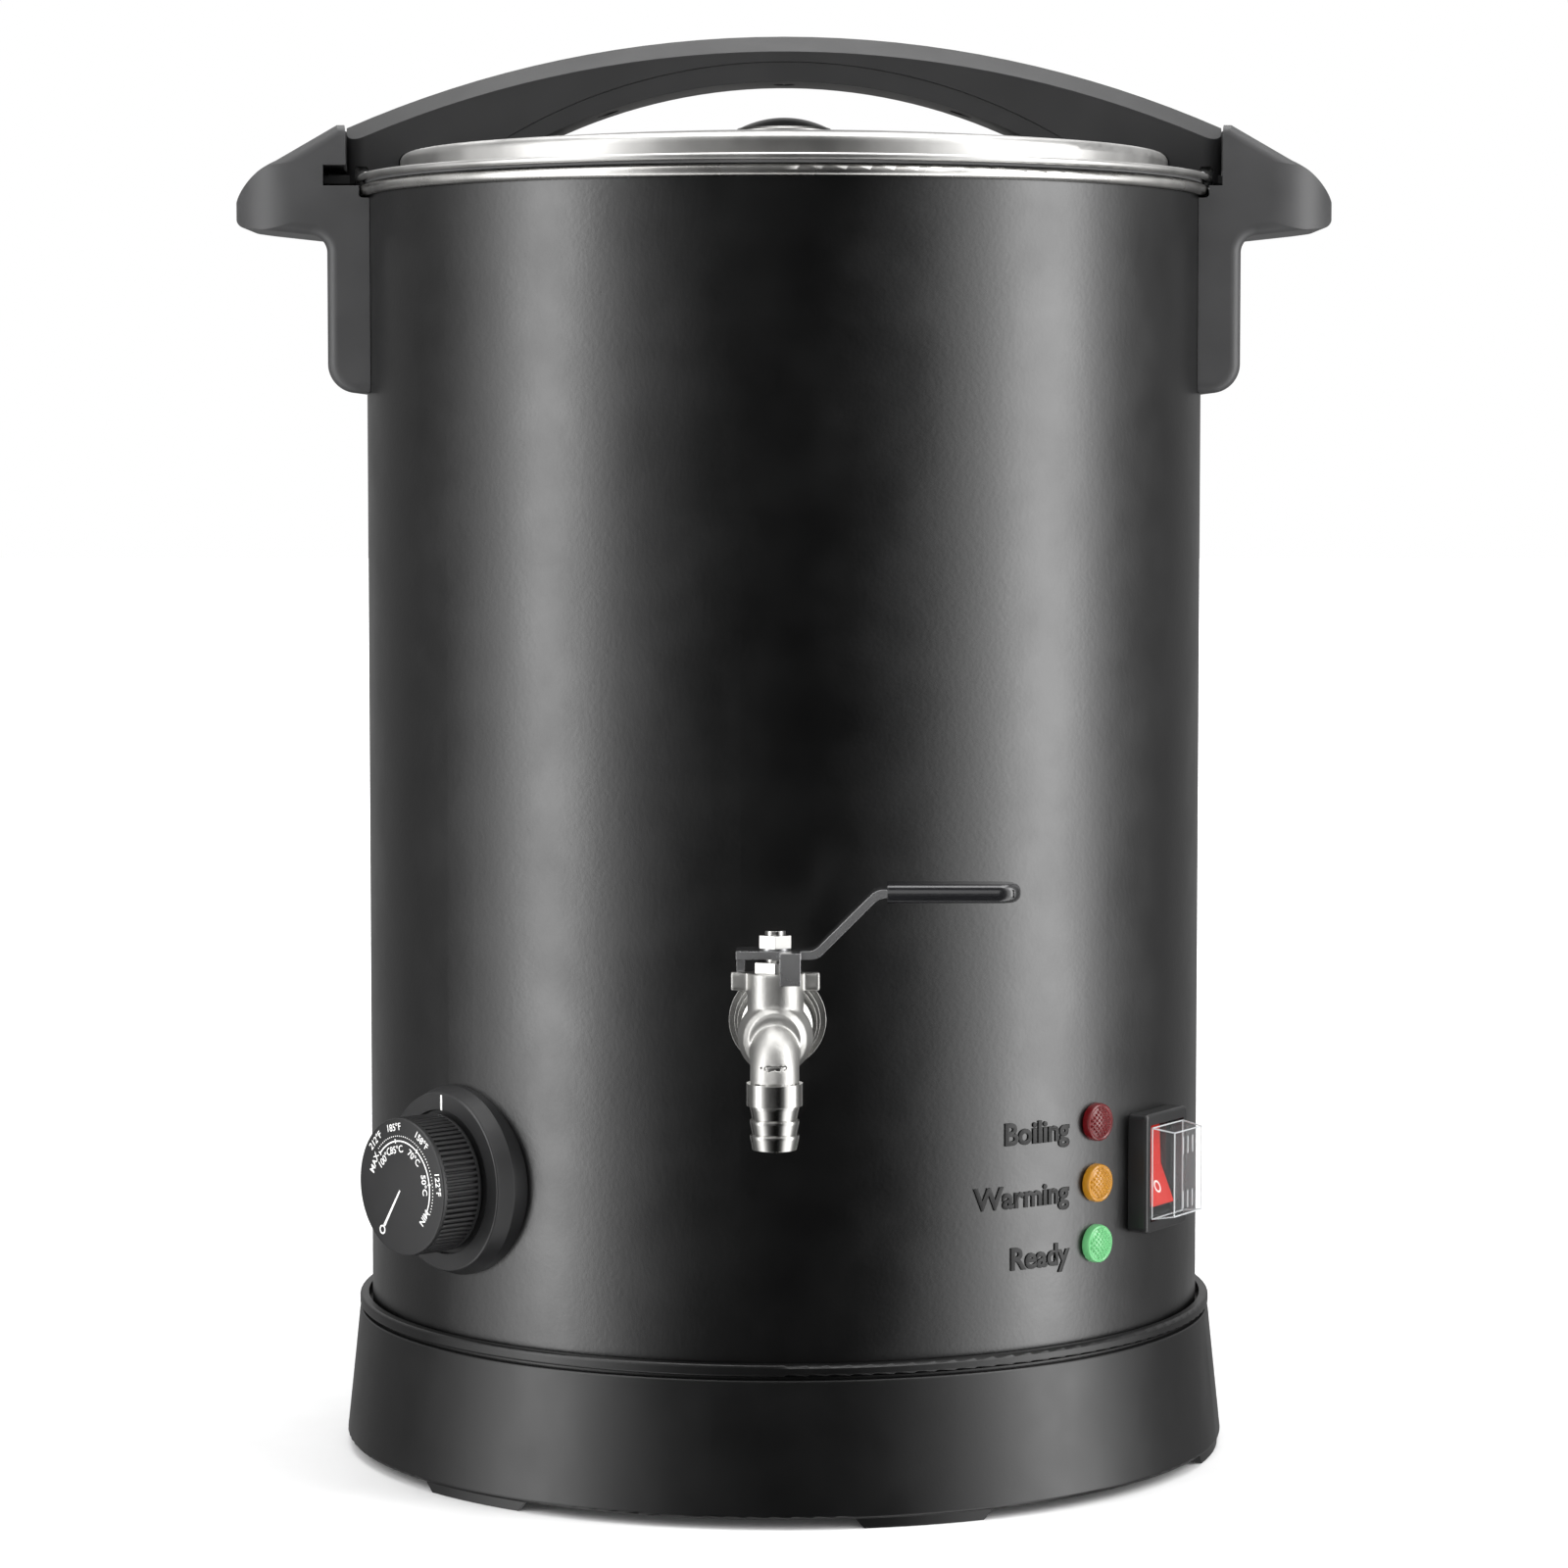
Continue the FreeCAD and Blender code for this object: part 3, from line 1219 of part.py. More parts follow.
# ---------------------------------------------------------------- mains inlet
def make_inlet():
    """Appliance inlet at the back: flanged socket, three pins and two screws."""
    wall = on_wall("inlet_azimuth", "inlet_height")
    socket = new_body("mains_inlet", wall)
    flange = new_sketch(socket, "XY_Plane", "drum_radius - 4")
    draw_box(flange, "inlet_flange_width", "inlet_flange_tall")
    pad(socket, flange, "inlet_face - drum_radius + 4")
    dress(socket, "Fillet", "4", upright)
    clear_of_drum(socket)
    block = draw_box(new_sketch(socket, "XY_Plane", "inlet_face"), "inlet_body_width", "inlet_body_tall")
    pad(socket, block, "28", back=True)
    half_width = "inlet_socket_width / 2"
    half_tall = "inlet_socket_tall / 2"
    cavity = draw(
        new_sketch(socket, "XY_Plane", "inlet_face"),
        (f"-({half_width})", f"-({half_tall})"),
        (f"{half_width} - 4", f"-({half_tall})"),
        (half_width, f"-({half_tall}) + 4"),
        (half_width, f"{half_tall} - 4"),
        (f"{half_width} - 4", half_tall),
        (f"-({half_width})", half_tall),
    )
    pocket(socket, cavity, "inlet_depth")
    for end in ("-1", "1"):
        hole = new_sketch(socket, "XY_Plane", "inlet_face")
        draw_circle(hole, ("0", f"{end} * inlet_screw_span / 2"), "inlet_screw + fit_gap")
        pocket(socket, hole, "10")

    pins = new_body("inlet_pins", wall)
    for across, up in (("-2", "-7"), ("2", "0"), ("-2", "7")):
        blade = new_sketch(pins, "XY_Plane", "inlet_face - inlet_depth")
        draw_box(blade, "4", "2", (across, up))
        pad(pins, blade, "14")

    screws = new_body("inlet_screws", wall)
    for end in ("-1", "1"):
        place = ("0", f"{end} * inlet_screw_span / 2")
        head = draw_circle(new_sketch(screws, "XY_Plane", "inlet_face"), place, "inlet_screw * 1.9")
        pad(screws, head, "1.8")
        shank = draw_circle(new_sketch(screws, "XY_Plane", "inlet_face"), place, "inlet_screw")
        pad(screws, shank, "inlet_face - drum_radius - 0.2", back=True)


# ---------------------------------------------------------------- tap
def make_tap_wall_fittings():
    """Tailpiece through both walls, with gaskets, outer washer and the nut inside the pot."""
    wall = on_wall("tap_azimuth", "tap_height")
    washer_back = "drum_radius + fit_gap + gasket_thickness"
    flange_back = f"{washer_back} + washer_thickness"
    tail = new_body("tap_tailpiece", wall)
    nut_front = "sqrt((pot_radius - pot_wall)^2 - washer_radius^2) - fit_gap - gasket_thickness"
    profile = draw(
        new_sketch(tail, "XZ_Plane"),
        ("tap_bore", f"{nut_front} - backnut_thickness - 2"),
        ("thread_radius", f"{nut_front} - backnut_thickness - 2"),
        ("thread_radius", flange_back),
        ("tail_flange", flange_back),
        ("tail_flange", f"{flange_back} + 2.2"),
        ("tail_neck", f"{flange_back} + 2.2"),
        ("tail_neck", f"{flange_back} + 3.4"),
        ("tail_ring", f"{flange_back} + 3.4"),
        ("tail_ring", f"{flange_back} + 5.8"),
        ("tail_waist", f"{flange_back} + 5.8"),
        ("tail_waist", f"{flange_back} + 7.2"),
        ("thread_radius", f"{flange_back} + 7.2"),
        ("thread_radius", f"{flange_back} + 14"),
        ("tail_tip", f"{flange_back} + 15.4"),
        ("tail_tip", "tap_reach - chamber_half_length"),
        ("tap_bore", "tap_reach - chamber_half_length"),
    )
    turn_about(tail, "Revolution", profile)

    for label, back, outer, thick in (
        ("tap_gasket", "drum_radius + fit_gap", "gasket_radius", "gasket_thickness"),
        ("tap_washer", washer_back, "washer_radius", "washer_thickness"),
        ("pot_gasket", nut_front, "gasket_radius", "gasket_thickness"),
    ):
        ring = new_body(label, wall)
        face = draw_circle(new_sketch(ring, "XY_Plane", back), ("0", "0"), outer)
        draw_circle(face, ("0", "0"), "thread_radius")
        pad(ring, face, thick)

    nut = new_body("tap_backnut", wall)
    face = draw_hexagon(new_sketch(nut, "XY_Plane", nut_front), "backnut_flats")
    draw_circle(face, ("0", "0"), "thread_radius")
    pad(nut, face, "backnut_thickness", back=True)


def make_tap_body():
    """Cast body: ball chamber, neck with two stop lugs, and the spout that bends down."""
    body = new_body("tap_body", at_stem())
    half = "chamber_radius"
    profile = draw(
        new_sketch(body, "XY_Plane"),
        ("0", "chamber_half_length"),
        ("chamber_mouth", "chamber_half_length"),
        ("chamber_mouth", "ball_radius + 2"),
        ("chamber_radius - 0.7", "ball_radius + 0.8"),
        (half, "3", f"-({half}) * 1.6"),
        (half, "-3"),
        ("chamber_radius - 1.3", "-ball_radius - 0.9"),
        ("chamber_nose", "-ball_radius - 2.8"),
        ("0", "-ball_radius - 2.8"),
    )
    turn_about(body, "Revolution", profile)
    neck = draw_circle(new_sketch(body, "XY_Plane"), ("0", "0"), "neck_radius")
    pad(body, neck, "neck_top")
    lug = new_sketch(body, "XY_Plane", "neck_top")
    draw_box(lug, "2 * lug_reach", "lug_thickness")
    pad(body, lug, "lug_height", back=True)
    path = draw(
        new_sketch(body, "YZ_Plane"),
        ("0", "0", "elbow_bend"),
        ("-elbow_bend", "-elbow_bend"),
        ("-elbow_bend", "barb_top + collar_height - tap_height"),
        closed=False,
    )
    start = draw_circle(new_sketch(body, "XZ_Plane"), ("0", "0"), "elbow_radius")
    spout = body.newObject("PartDesign::AdditivePipe", "tap_body_spout")
    spout.Profile = start
    spout.Spine = path
    bore_start = draw_circle(new_sketch(body, "XZ_Plane"), ("0", "0"), "tap_bore")
    bore = body.newObject("PartDesign::SubtractivePipe", "tap_body_bore")
    bore.Profile = bore_start
    bore.Spine = path
    socket = new_sketch(body, "XY_Plane", "barb_top + collar_height - tap_height")
    draw_circle(socket, ("0", "-elbow_bend"), "elbow_radius - spout_wall")
    pocket(body, socket, "spout_socket", forward=True)
    chamber = draw(
        new_sketch(body, "XY_Plane"),
        ("0", "chamber_half_length + 1"),
        ("ball_radius + fit_gap", "chamber_half_length + 1"),
        ("ball_radius + fit_gap", "-seat_face - fit_gap"),
        ("0", "-seat_face - fit_gap"),
    )
    turn_about(body, "Groove", chamber)
    well = draw_circle(new_sketch(body, "XY_Plane"), ("0", "0"), "stem_radius + running_gap")
    pocket(body, well, "40", forward=True)

    barb = new_body("hose_barb", at_stem())
    lift = "barb_top - tap_height"
    socket = "elbow_radius - spout_wall - fit_gap"
    corners = [
        (socket, f"{lift} + collar_height - fit_gap"),
        (socket, f"{lift} + collar_height + 4.8"),
        ("tap_bore - 0.6", f"{lift} + collar_height + 4.8"),
        ("tap_bore - 0.6", f"{lift} - barb_count * barb_pitch"),
    ]
    for step in range(int(SIZES["barb_count"]), 0, -1):
        crest = f"{lift} - {step - 1} * barb_pitch"
        corners.append(("barb_waist", f"{lift} - {step} * barb_pitch"))
        corners.append(("barb_radius", f"{crest} - barb_land"))
        corners.append(("barb_radius", crest))
    corners += [
        ("collar_radius", lift),
        ("collar_radius", f"{lift} + collar_height - fit_gap"),
    ]
    profile = draw(new_sketch(barb, "XZ_Plane"), *corners)
    turn_about(barb, "Revolution", profile)
    barb.setExpression(
        "Placement",
        link(
            "placement(vector((tap_reach + elbow_bend) * sin(tap_azimuth); "
            "-(tap_reach + elbow_bend) * cos(tap_azimuth); tap_height); "
            "rotation(vector(0; 0; 1); tap_azimuth))"
        ),
    )

    gland = new_body("gland_nut", at_stem())
    face = draw_hexagon(new_sketch(gland, "XY_Plane", "neck_top"), "gland_flats")
    draw_circle(face, ("0", "0"), "stem_radius + running_gap")
    pad(gland, face, "gland_height")


def make_ball():
    """Bored ball with its two seat rings in the chamber."""
    ball = new_body("tap_ball", at_stem())
    half = "ball_radius"
    disc = draw(new_sketch(ball, "XZ_Plane"), ("0", f"-({half})", half), ("0", half))
    turn_about(ball, "Revolution", disc)
    bore = draw_circle(new_sketch(ball, "YZ_Plane"), ("0", "0"), "tap_bore")
    pocket(ball, bore, "30", both=True)
    key = draw_box(new_sketch(ball, "XY_Plane", "ball_radius - 1.4"), "7", "2.2")
    pocket(ball, key, "5", forward=True)

    seats = new_body("ball_seats", at_stem())
    for sign in ("", "-"):
        profile = draw(
            new_sketch(seats, "XY_Plane"),
            ("tap_bore", f"{sign}seat_back"),
            ("ball_radius", f"{sign}seat_back"),
            ("ball_radius", f"{sign}seat_face"),
            ("tap_bore", f"{sign}seat_face"),
        )
        turn_about(seats, "Revolution", profile)
    reach = "ball_radius + fit_gap"
    hollow = draw(new_sketch(seats, "XZ_Plane"), ("0", f"-({reach})", reach), ("0", reach))
    turn_about(seats, "Groove", hollow)


def make_lever():
    """Bent steel lever with two stop tabs, dipped vinyl sleeve, stem, washer and nut."""
    lever = new_body("tap_lever", at_stem())
    top = "lever_base + lever_thickness"
    run = "lever_rise"
    shift = "lever_thickness * tan(22.5)"
    high = f"lever_base + {run}"
    left = "-tab_inner - lever_thickness"
    side = draw(
        new_sketch(lever, "XZ_Plane"),
        (left, "lever_base"),
        (f"lever_bend + {shift}", "lever_base"),
        (f"lever_bend + {shift} + {run}", high),
        ("lever_length", high),
        ("lever_length", f"{high} + lever_thickness"),
        (f"lever_bend + {run}", f"{high} + lever_thickness"),
        ("lever_bend", top),
        (left, top),
    )
    pad(lever, side, "lever_width", both=True)
    dress(lever, "Fillet", "lever_bend_round", lever_bends)
    dress(lever, "Fillet", "lever_width / 2 - 0.2", lever_tip)
    for ear, tab in ((front_ear(), front_tab()), (left_ear(), left_tab())):
        draw_ear = draw(new_sketch(lever, "XY_Plane", "lever_base"), *ear)
        pad(lever, draw_ear, "lever_thickness")
        draw_tab = draw(new_sketch(lever, "XY_Plane", "lever_base + 0.5"), *tab)
        pad(lever, draw_tab, "tab_drop + 0.5", back=True)
    hole = draw_circle(new_sketch(lever, "XY_Plane", "lever_base"), ("0", "0"), "stem_radius")
    pocket(lever, hole, "lever_thickness", forward=True)

    sleeve = new_body("lever_sleeve", at_stem())
    middle = f"{high} + lever_thickness / 2"
    open_end = "lever_bend + lever_rise + sleeve_lag"
    dip = draw(
        new_sketch(sleeve, "XZ_Plane"),
        (open_end, f"{middle} - sleeve_thickness / 2"),
        ("lever_length + sleeve_end", f"{middle} - sleeve_thickness / 2"),
        ("lever_length + sleeve_end", f"{middle} + sleeve_thickness / 2"),
        (open_end, f"{middle} + sleeve_thickness / 2"),
    )
    pad(sleeve, dip, "sleeve_width", both=True)
    dress(sleeve, "Fillet", "sleeve_width / 2 - 0.3", sleeve_tip)
    dress(sleeve, "Fillet", "sleeve_thickness / 2 - 0.3", sleeve_long)
    core = draw_box(new_sketch(sleeve, "YZ_Plane", open_end), "lever_width", "lever_thickness", ("0", middle))
    pocket(sleeve, core, f"lever_length - ({open_end})", forward=True)

    stem = new_body("tap_stem", at_stem())
    rod = draw_circle(new_sketch(stem, "XY_Plane", "ball_radius"), ("0", "0"), "stem_radius")
    pad(stem, rod, "stem_top - ball_radius")
    blade = draw_box(new_sketch(stem, "XY_Plane", "ball_radius"), "4.4", "1.9")
    pad(stem, blade, "1.2", back=True)

    washer = new_body("lever_washer", at_stem())
    face = draw_circle(new_sketch(washer, "XY_Plane", top), ("0", "0"), "lever_nut_flats / 2")
    draw_circle(face, ("0", "0"), "stem_radius")
    pad(washer, face, "lever_washer")

    nut = new_body("lever_nut", at_stem())
    face = draw_hexagon(new_sketch(nut, "XY_Plane", f"{top} + lever_washer"), "lever_nut_flats")
    draw_circle(face, ("0", "0"), "stem_radius")
    pad(nut, face, "lever_nut_height")


def front_ear():
    """Plan of the ear that carries the front stop tab."""
    far = "-tab_inner - lever_thickness"
    return (
        ("tab_near", "-lever_width / 2 + 1"),
        ("tab_near", far),
        ("tab_near + tab_width", far),
        ("tab_near + tab_width", "-lever_width / 2 + 1"),
    )


def front_tab():
    """Plan of the front stop tab."""
    far = "-tab_inner - lever_thickness"
    return (
        ("tab_near", "-tab_inner"),
        ("tab_near", far),
        ("tab_near + tab_width", far),
        ("tab_near + tab_width", "-tab_inner"),
    )


def left_ear():
    """Plan of the ear that carries the left stop tab."""
    far = "-tab_inner - lever_thickness"
    return (
        (far, "lever_width / 2 - 1"),
        ("-lever_width / 2", "lever_width / 2 - 1"),
        ("-lever_width / 2", "tab_near + tab_width"),
        (far, "tab_near + tab_width"),
    )


def left_tab():
    """Plan of the left stop tab."""
    far = "-tab_inner - lever_thickness"
    return (
        (far, "tab_near"),
        ("-tab_inner", "tab_near"),
        ("-tab_inner", "tab_near + tab_width"),
        (far, "tab_near + tab_width"),
    )


def lever_bends(edge):
    """True for the cross edges where the lever's strip bends."""
    box = edge.BoundBox
    inner = value("lever_bend - 1") < box.XMin and box.XMax < value("lever_length - 1")
    return inner and box.YLength > value("lever_width - 1") and box.XLength < 1e-4


def lever_tip(edge):
    """True for the upright edges at the lever's free end."""
    return upright(edge) and edge.BoundBox.XMin > value("lever_length - 1")


def sleeve_tip(edge):
    """True for the upright edges at the sleeve's closed end."""
    return upright(edge) and edge.BoundBox.XMin > value("lever_length + sleeve_end - 1")


def sleeve_long(edge):
    """True for every edge of the sleeve but those of its open end."""
    box = edge.BoundBox
    return box.XMax > value("lever_bend + lever_rise + sleeve_lag + 1") and box.ZLength < 1e-4


# ---------------------------------------------------------------- build and write
def main():
    """Build every sub-part, check it and write its file."""
    make_base_skirt()
    make_base_collar()
    make_bottom_cover()
    make_bottom_screws()
    make_drum_shell()
    make_inner_pot()
    make_heater()
    make_side_handle("side_handle_right", "0")
    make_side_handle("side_handle_left", "180")
    make_handle_screws()
    make_lid_disc()
    make_lid_screws()
    make_lid_seal()
    make_vent()
    make_arch_handle()
    make_arch_grip()
    make_dial()
    make_lamp("lamp_red", "1")
    make_lamp("lamp_amber", "0")
    make_lamp("lamp_green", "-1")
    make_switch()
    make_inlet()
    make_tap_wall_fittings()
    make_tap_body()
    make_ball()
    make_lever()
    doc.recompute()
    check_document()
    os.makedirs("parts", exist_ok=True)
    for body in subparts:
        body.Shape.exportStep(f"parts/{body.Label}.step")


def check_document():
    """Refuse to write anything from a failed object or an empty or invalid solid."""
    late = [item for item in doc.Objects if item.State != ["Up-to-date"]]
    faults = [f"{item.Name}: {item.getStatusString()}" for item in late]
    for body in subparts:
        shape = body.Shape
        if shape.isNull() or not shape.isValid() or shape.Volume <= 0:
            faults.append(f"{body.Label}: null {shape.isNull()}, valid {shape.isValid()}, {shape.Volume}")
    if faults:
        raise RuntimeError("\n".join(faults))


main()
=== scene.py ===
"""Looks of the electric brew kettle: finishes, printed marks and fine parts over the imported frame.

A piece is drawn in millimetres about its own centre, then set in the frame's metres by a place.
"""

import json
import logging
import math
from dataclasses import dataclass, field
from enum import Enum
from typing import ClassVar

import bmesh
import bpy
from mathutils import Matrix, Vector
from mathutils.bvhtree import BVHTree

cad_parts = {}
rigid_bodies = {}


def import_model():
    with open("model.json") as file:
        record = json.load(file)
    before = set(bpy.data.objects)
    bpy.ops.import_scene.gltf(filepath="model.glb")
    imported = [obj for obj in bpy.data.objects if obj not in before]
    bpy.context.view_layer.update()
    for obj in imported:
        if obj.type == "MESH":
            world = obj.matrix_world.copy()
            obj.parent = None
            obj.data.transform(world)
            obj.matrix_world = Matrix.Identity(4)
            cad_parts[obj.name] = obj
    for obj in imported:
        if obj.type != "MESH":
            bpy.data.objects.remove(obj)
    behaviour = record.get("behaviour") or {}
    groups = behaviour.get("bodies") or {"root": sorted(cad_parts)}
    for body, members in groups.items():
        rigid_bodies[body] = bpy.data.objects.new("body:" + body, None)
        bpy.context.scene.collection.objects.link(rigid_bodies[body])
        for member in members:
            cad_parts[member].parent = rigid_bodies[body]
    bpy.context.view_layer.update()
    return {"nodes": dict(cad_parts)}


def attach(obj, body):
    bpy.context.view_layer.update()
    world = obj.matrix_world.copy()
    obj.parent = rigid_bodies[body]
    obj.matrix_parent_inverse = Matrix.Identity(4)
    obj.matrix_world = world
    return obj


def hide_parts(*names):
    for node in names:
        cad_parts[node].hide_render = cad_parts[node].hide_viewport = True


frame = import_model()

log = logging.getLogger("kettle")
logging.basicConfig(level=logging.INFO, format="%(name)s: %(message)s")

MM = 0.001
Colour = tuple[float, float, float]
Corner = tuple[float, float]
Label = tuple[str, float]
Socket = bpy.types.NodeSocket


class Body(str, Enum):
    """The bodies that pieces ride on."""

    KETTLE = "kettle"
    LID = "lid"
    TAP_HANDLE = "tap_handle"
    DIAL = "dial"
    ROCKER = "rocker"


# ---------------------------------------------------------------- node trees
class Graph:
    """Short hand for adding and wiring the nodes of one tree."""

    def __init__(self, tree: bpy.types.NodeTree) -> None:
        """Keep the tree that nodes go into."""
        self.tree = tree

    def add(self, kind: str, inputs: dict | None = None, **settings: object) -> bpy.types.Node:
        """Add a node, set its properties and fill its sockets.

        Args:
            kind: Blender's name for the node's type.
            inputs: value or socket for each input, by name or index.
            settings: the node's properties.

        Returns:
            The node.
        """
        node = self.tree.nodes.new(kind)
        for name, setting in settings.items():
            setattr(node, name, setting)
        for key, given in (inputs or {}).items():
            if isinstance(given, Socket):
                self.tree.links.new(given, node.inputs[key])
            else:
                node.inputs[key].default_value = given
        return node

    def noise(self, place: Socket, scale: float, detail: float = 3.0, roughness: float = 0.55) -> Socket:
        """Return the value of a noise of that many grains per metre."""
        inputs = {"Vector": place, "Scale": scale, "Detail": detail, "Roughness": roughness}
        return self.add("ShaderNodeTexNoise", inputs).outputs["Fac"]

    def ranged(self, value: Socket, low: float, high: float, start: float = 0.3, end: float = 0.7) -> Socket:
        """Return a value spread from low to high as the given one goes from start to end."""
        inputs = {"Value": value, "From Min": start, "From Max": end, "To Min": low, "To Max": high}
        return self.add("ShaderNodeMapRange", inputs).outputs["Result"]

    def maths(self, operation: str, first: object, second: object = 0.0) -> Socket:
        """Return the result of one sum on two values or sockets."""
        return self.add("ShaderNodeMath", {0: first, 1: second}, operation=operation).outputs[0]

    def length(self, vector: Socket) -> Socket:
        """Return the length of a vector."""
        return self.add("ShaderNodeVectorMath", {0: vector}, operation="LENGTH").outputs["Value"]

    def object_place(self) -> Socket:
        """Return the shaded point in the object's own coordinates."""
        return self.add("ShaderNodeTexCoord").outputs["Object"]


# ---------------------------------------------------------------- finishes
@dataclass(frozen=True)
class Finish:
    """A surface as its maker would order it; the plain one is moulded with a fine even grain."""

    name: str
    colour: Colour
    roughness: float
    slot: str
    metallic: float = 0.0
    coat: float = 0.0
    patch_spread: float = 0.12
    rough_spread: float = 0.04
    grain: float = 1500.0
    relief: float = 0.012
    edge: float = 0.3
    gloss: float = 0.5

    def surface(self, graph: Graph, place: Socket) -> Socket:
        """Return the height of the surface: a fine grain over a broad one.

        Args:
            graph: the material's nodes.
            place: where the surface is shaded.

        Returns:
            The height.
        """
        fine = graph.noise(place, self.grain, 4.0)
        broad = graph.noise(place, self.grain * 0.12, 2.0)
        return graph.maths("ADD", fine, graph.maths("MULTIPLY", broad, 0.6))

    def shader_values(self) -> dict:
        """Return the shader's uniform values.

        Returns:
            The value of each socket by its name.
        """
        return {
            "Metallic": self.metallic,
            "Coat Weight": self.coat,
            "Coat Roughness": 0.12,
            "Specular IOR Level": self.gloss,
        }

    def material(self) -> bpy.types.Material:
        """Make the finish as a material, or find it if it is made.

        Returns:
            The material.
        """
        made = bpy.data.materials.get(self.name)
        if made is not None:
            return made
        made = bpy.data.materials.new(self.name)
        made.use_nodes = True
        made.node_tree.nodes.clear()
        graph = Graph(made.node_tree)
        place = graph.object_place()
        patches = graph.noise(place, 45.0, 5.0)
        ramp = graph.add("ShaderNodeValToRGB", {"Fac": graph.ranged(patches, 0.0, 1.0)})
        for stop, side in zip(ramp.color_ramp.elements, (1 - self.patch_spread, 1 + self.patch_spread)):
            stop.color = (*(min(1.0, part * side) for part in self.colour), 1.0)
        low, high = self.roughness - self.rough_spread, self.roughness + self.rough_spread
        rounded = graph.add("ShaderNodeBevel", {"Radius": self.edge * MM}, samples=4).outputs["Normal"]
        feel = {"Distance": self.relief * MM, "Height": self.surface(graph, place), "Normal": rounded}
        bump = graph.add("ShaderNodeBump", feel)
        inputs = {
            "Base Color": ramp.outputs["Color"],
            "Roughness": graph.ranged(patches, max(0.02, low), high),
            "Normal": bump.outputs["Normal"],
            **self.shader_values(),
        }
        shader = graph.add("ShaderNodeBsdfPrincipled", inputs)
        self.extra(graph, shader)
        graph.add("ShaderNodeOutputMaterial", {"Surface": shader.outputs["BSDF"]})
        return made

    def extra(self, graph: Graph, shader: bpy.types.Node) -> None:
        """Wire what only some finishes have."""


@dataclass(frozen=True)
class PowderCoat(Finish):
    """Satin powder coat with the orange peel and fine texture of baked paint."""

    def surface(self, graph: Graph, place: Socket) -> Socket:
        """Return shallow pebbles over a slow ripple.

        Args:
            graph: the material's nodes.
            place: where the surface is shaded.

        Returns:
            The height.
        """
        cells = graph.add("ShaderNodeTexVoronoi", {"Vector": place, "Scale": self.grain}, feature="SMOOTH_F1")
        peel = graph.noise(place, self.grain * 0.45, 3.0)
        return graph.maths("ADD", cells.outputs["Distance"], graph.maths("MULTIPLY", peel, 1.6))


@dataclass(frozen=True)
class SpunSteel(Finish):
    """Stainless steel spun and brushed in rings about the drum's axis."""

    anisotropic: float = 0.45

    def surface(self, graph: Graph, place: Socket) -> Socket:
        """Return fine rings that waver slightly.

        Args:
            graph: the material's nodes.
            place: where the surface is shaded.

        Returns:
            The height.
        """
        split = graph.add("ShaderNodeSeparateXYZ", {"Vector": place})
        across = graph.add("ShaderNodeCombineXYZ", {"X": split.outputs["X"], "Y": split.outputs["Y"]})
        radius = graph.length(across.outputs[0])
        ring = graph.maths("ADD", radius, graph.maths("MULTIPLY", split.outputs["Z"], 0.7))
        waver = graph.maths("MULTIPLY", graph.noise(place, 14.0, 2.0), 0.002)
        rings = graph.add("ShaderNodeCombineXYZ", {"X": graph.maths("ADD", ring, waver)})
        return graph.noise(rings.outputs[0], self.grain, 6.0, 0.7)

    def shader_values(self) -> dict:
        """Return the plain values with the brushing's direction strength."""
        return {**super().shader_values(), "Anisotropic": self.anisotropic}

    def extra(self, graph: Graph, shader: bpy.types.Node) -> None:
        """Point the brushing round the axis.

        Args:
            graph: the material's nodes.
            shader: its principled shader.
        """
        ends = {0: (0.0, 0.0, 1.0), 1: graph.object_place()}
        around = graph.add("ShaderNodeVectorMath", ends, operation="CROSS_PRODUCT")
        spaces = {"convert_from": "OBJECT", "convert_to": "WORLD"}
        world = graph.add("ShaderNodeVectorTransform", {"Vector": around.outputs[0]}, **spaces)
        graph.tree.links.new(world.outputs[0], shader.inputs["Tangent"])


@dataclass(frozen=True)
class CastMetal(Finish):
    """Sand-cast and tumbled metal: shallow pits and soft lumps under the plating."""

    def surface(self, graph: Graph, place: Socket) -> Socket:
        """Return lumps with small pits.

        Args:
            graph: the material's nodes.
            place: where the surface is shaded.

        Returns:
            The height.
        """
        lumps = graph.noise(place, self.grain * 0.35, 3.0)
        pits = graph.add("ShaderNodeTexVoronoi", {"Vector": place, "Scale": self.grain * 0.6})
        pitted = graph.ranged(pits.outputs["Distance"], 0.0, 0.35, 0.0, 0.25)
        return graph.maths("ADD", lumps, pitted)


@dataclass(frozen=True)
class ClearPlastic(Finish):
    """Clear or tinted plastic that light passes through, lit from behind if it glows."""

    clearness: float = 0.0
    glow: float = 0.0
    opacity: float = 1.0

    def shader_values(self) -> dict:
        """Return the plain values with clearness and glow.

        Returns:
            The value of each socket by its name.
        """
        return {
            **super().shader_values(),
            "Transmission Weight": self.clearness,
            "Alpha": self.opacity,
            "IOR": 1.46,
            "Emission Color": (*self.colour, 1.0),
            "Emission Strength": self.glow,
        }


@dataclass(frozen=True)
class PaleFloor(Finish):
    """Studio floor that brightens into the white surround away from the middle."""

    def extra(self, graph: Graph, shader: bpy.types.Node) -> None:
        """Fade the floor to white with distance.

        Args:
            graph: the material's nodes.
            shader: its principled shader.
        """
        reach = graph.length(graph.object_place())
        shader.inputs["Emission Color"].default_value = (1.0, 1.0, 1.0, 1.0)
        graph.tree.links.new(graph.ranged(reach, 0.0, 1.0, 0.35, 2.2), shader.inputs["Emission Strength"])


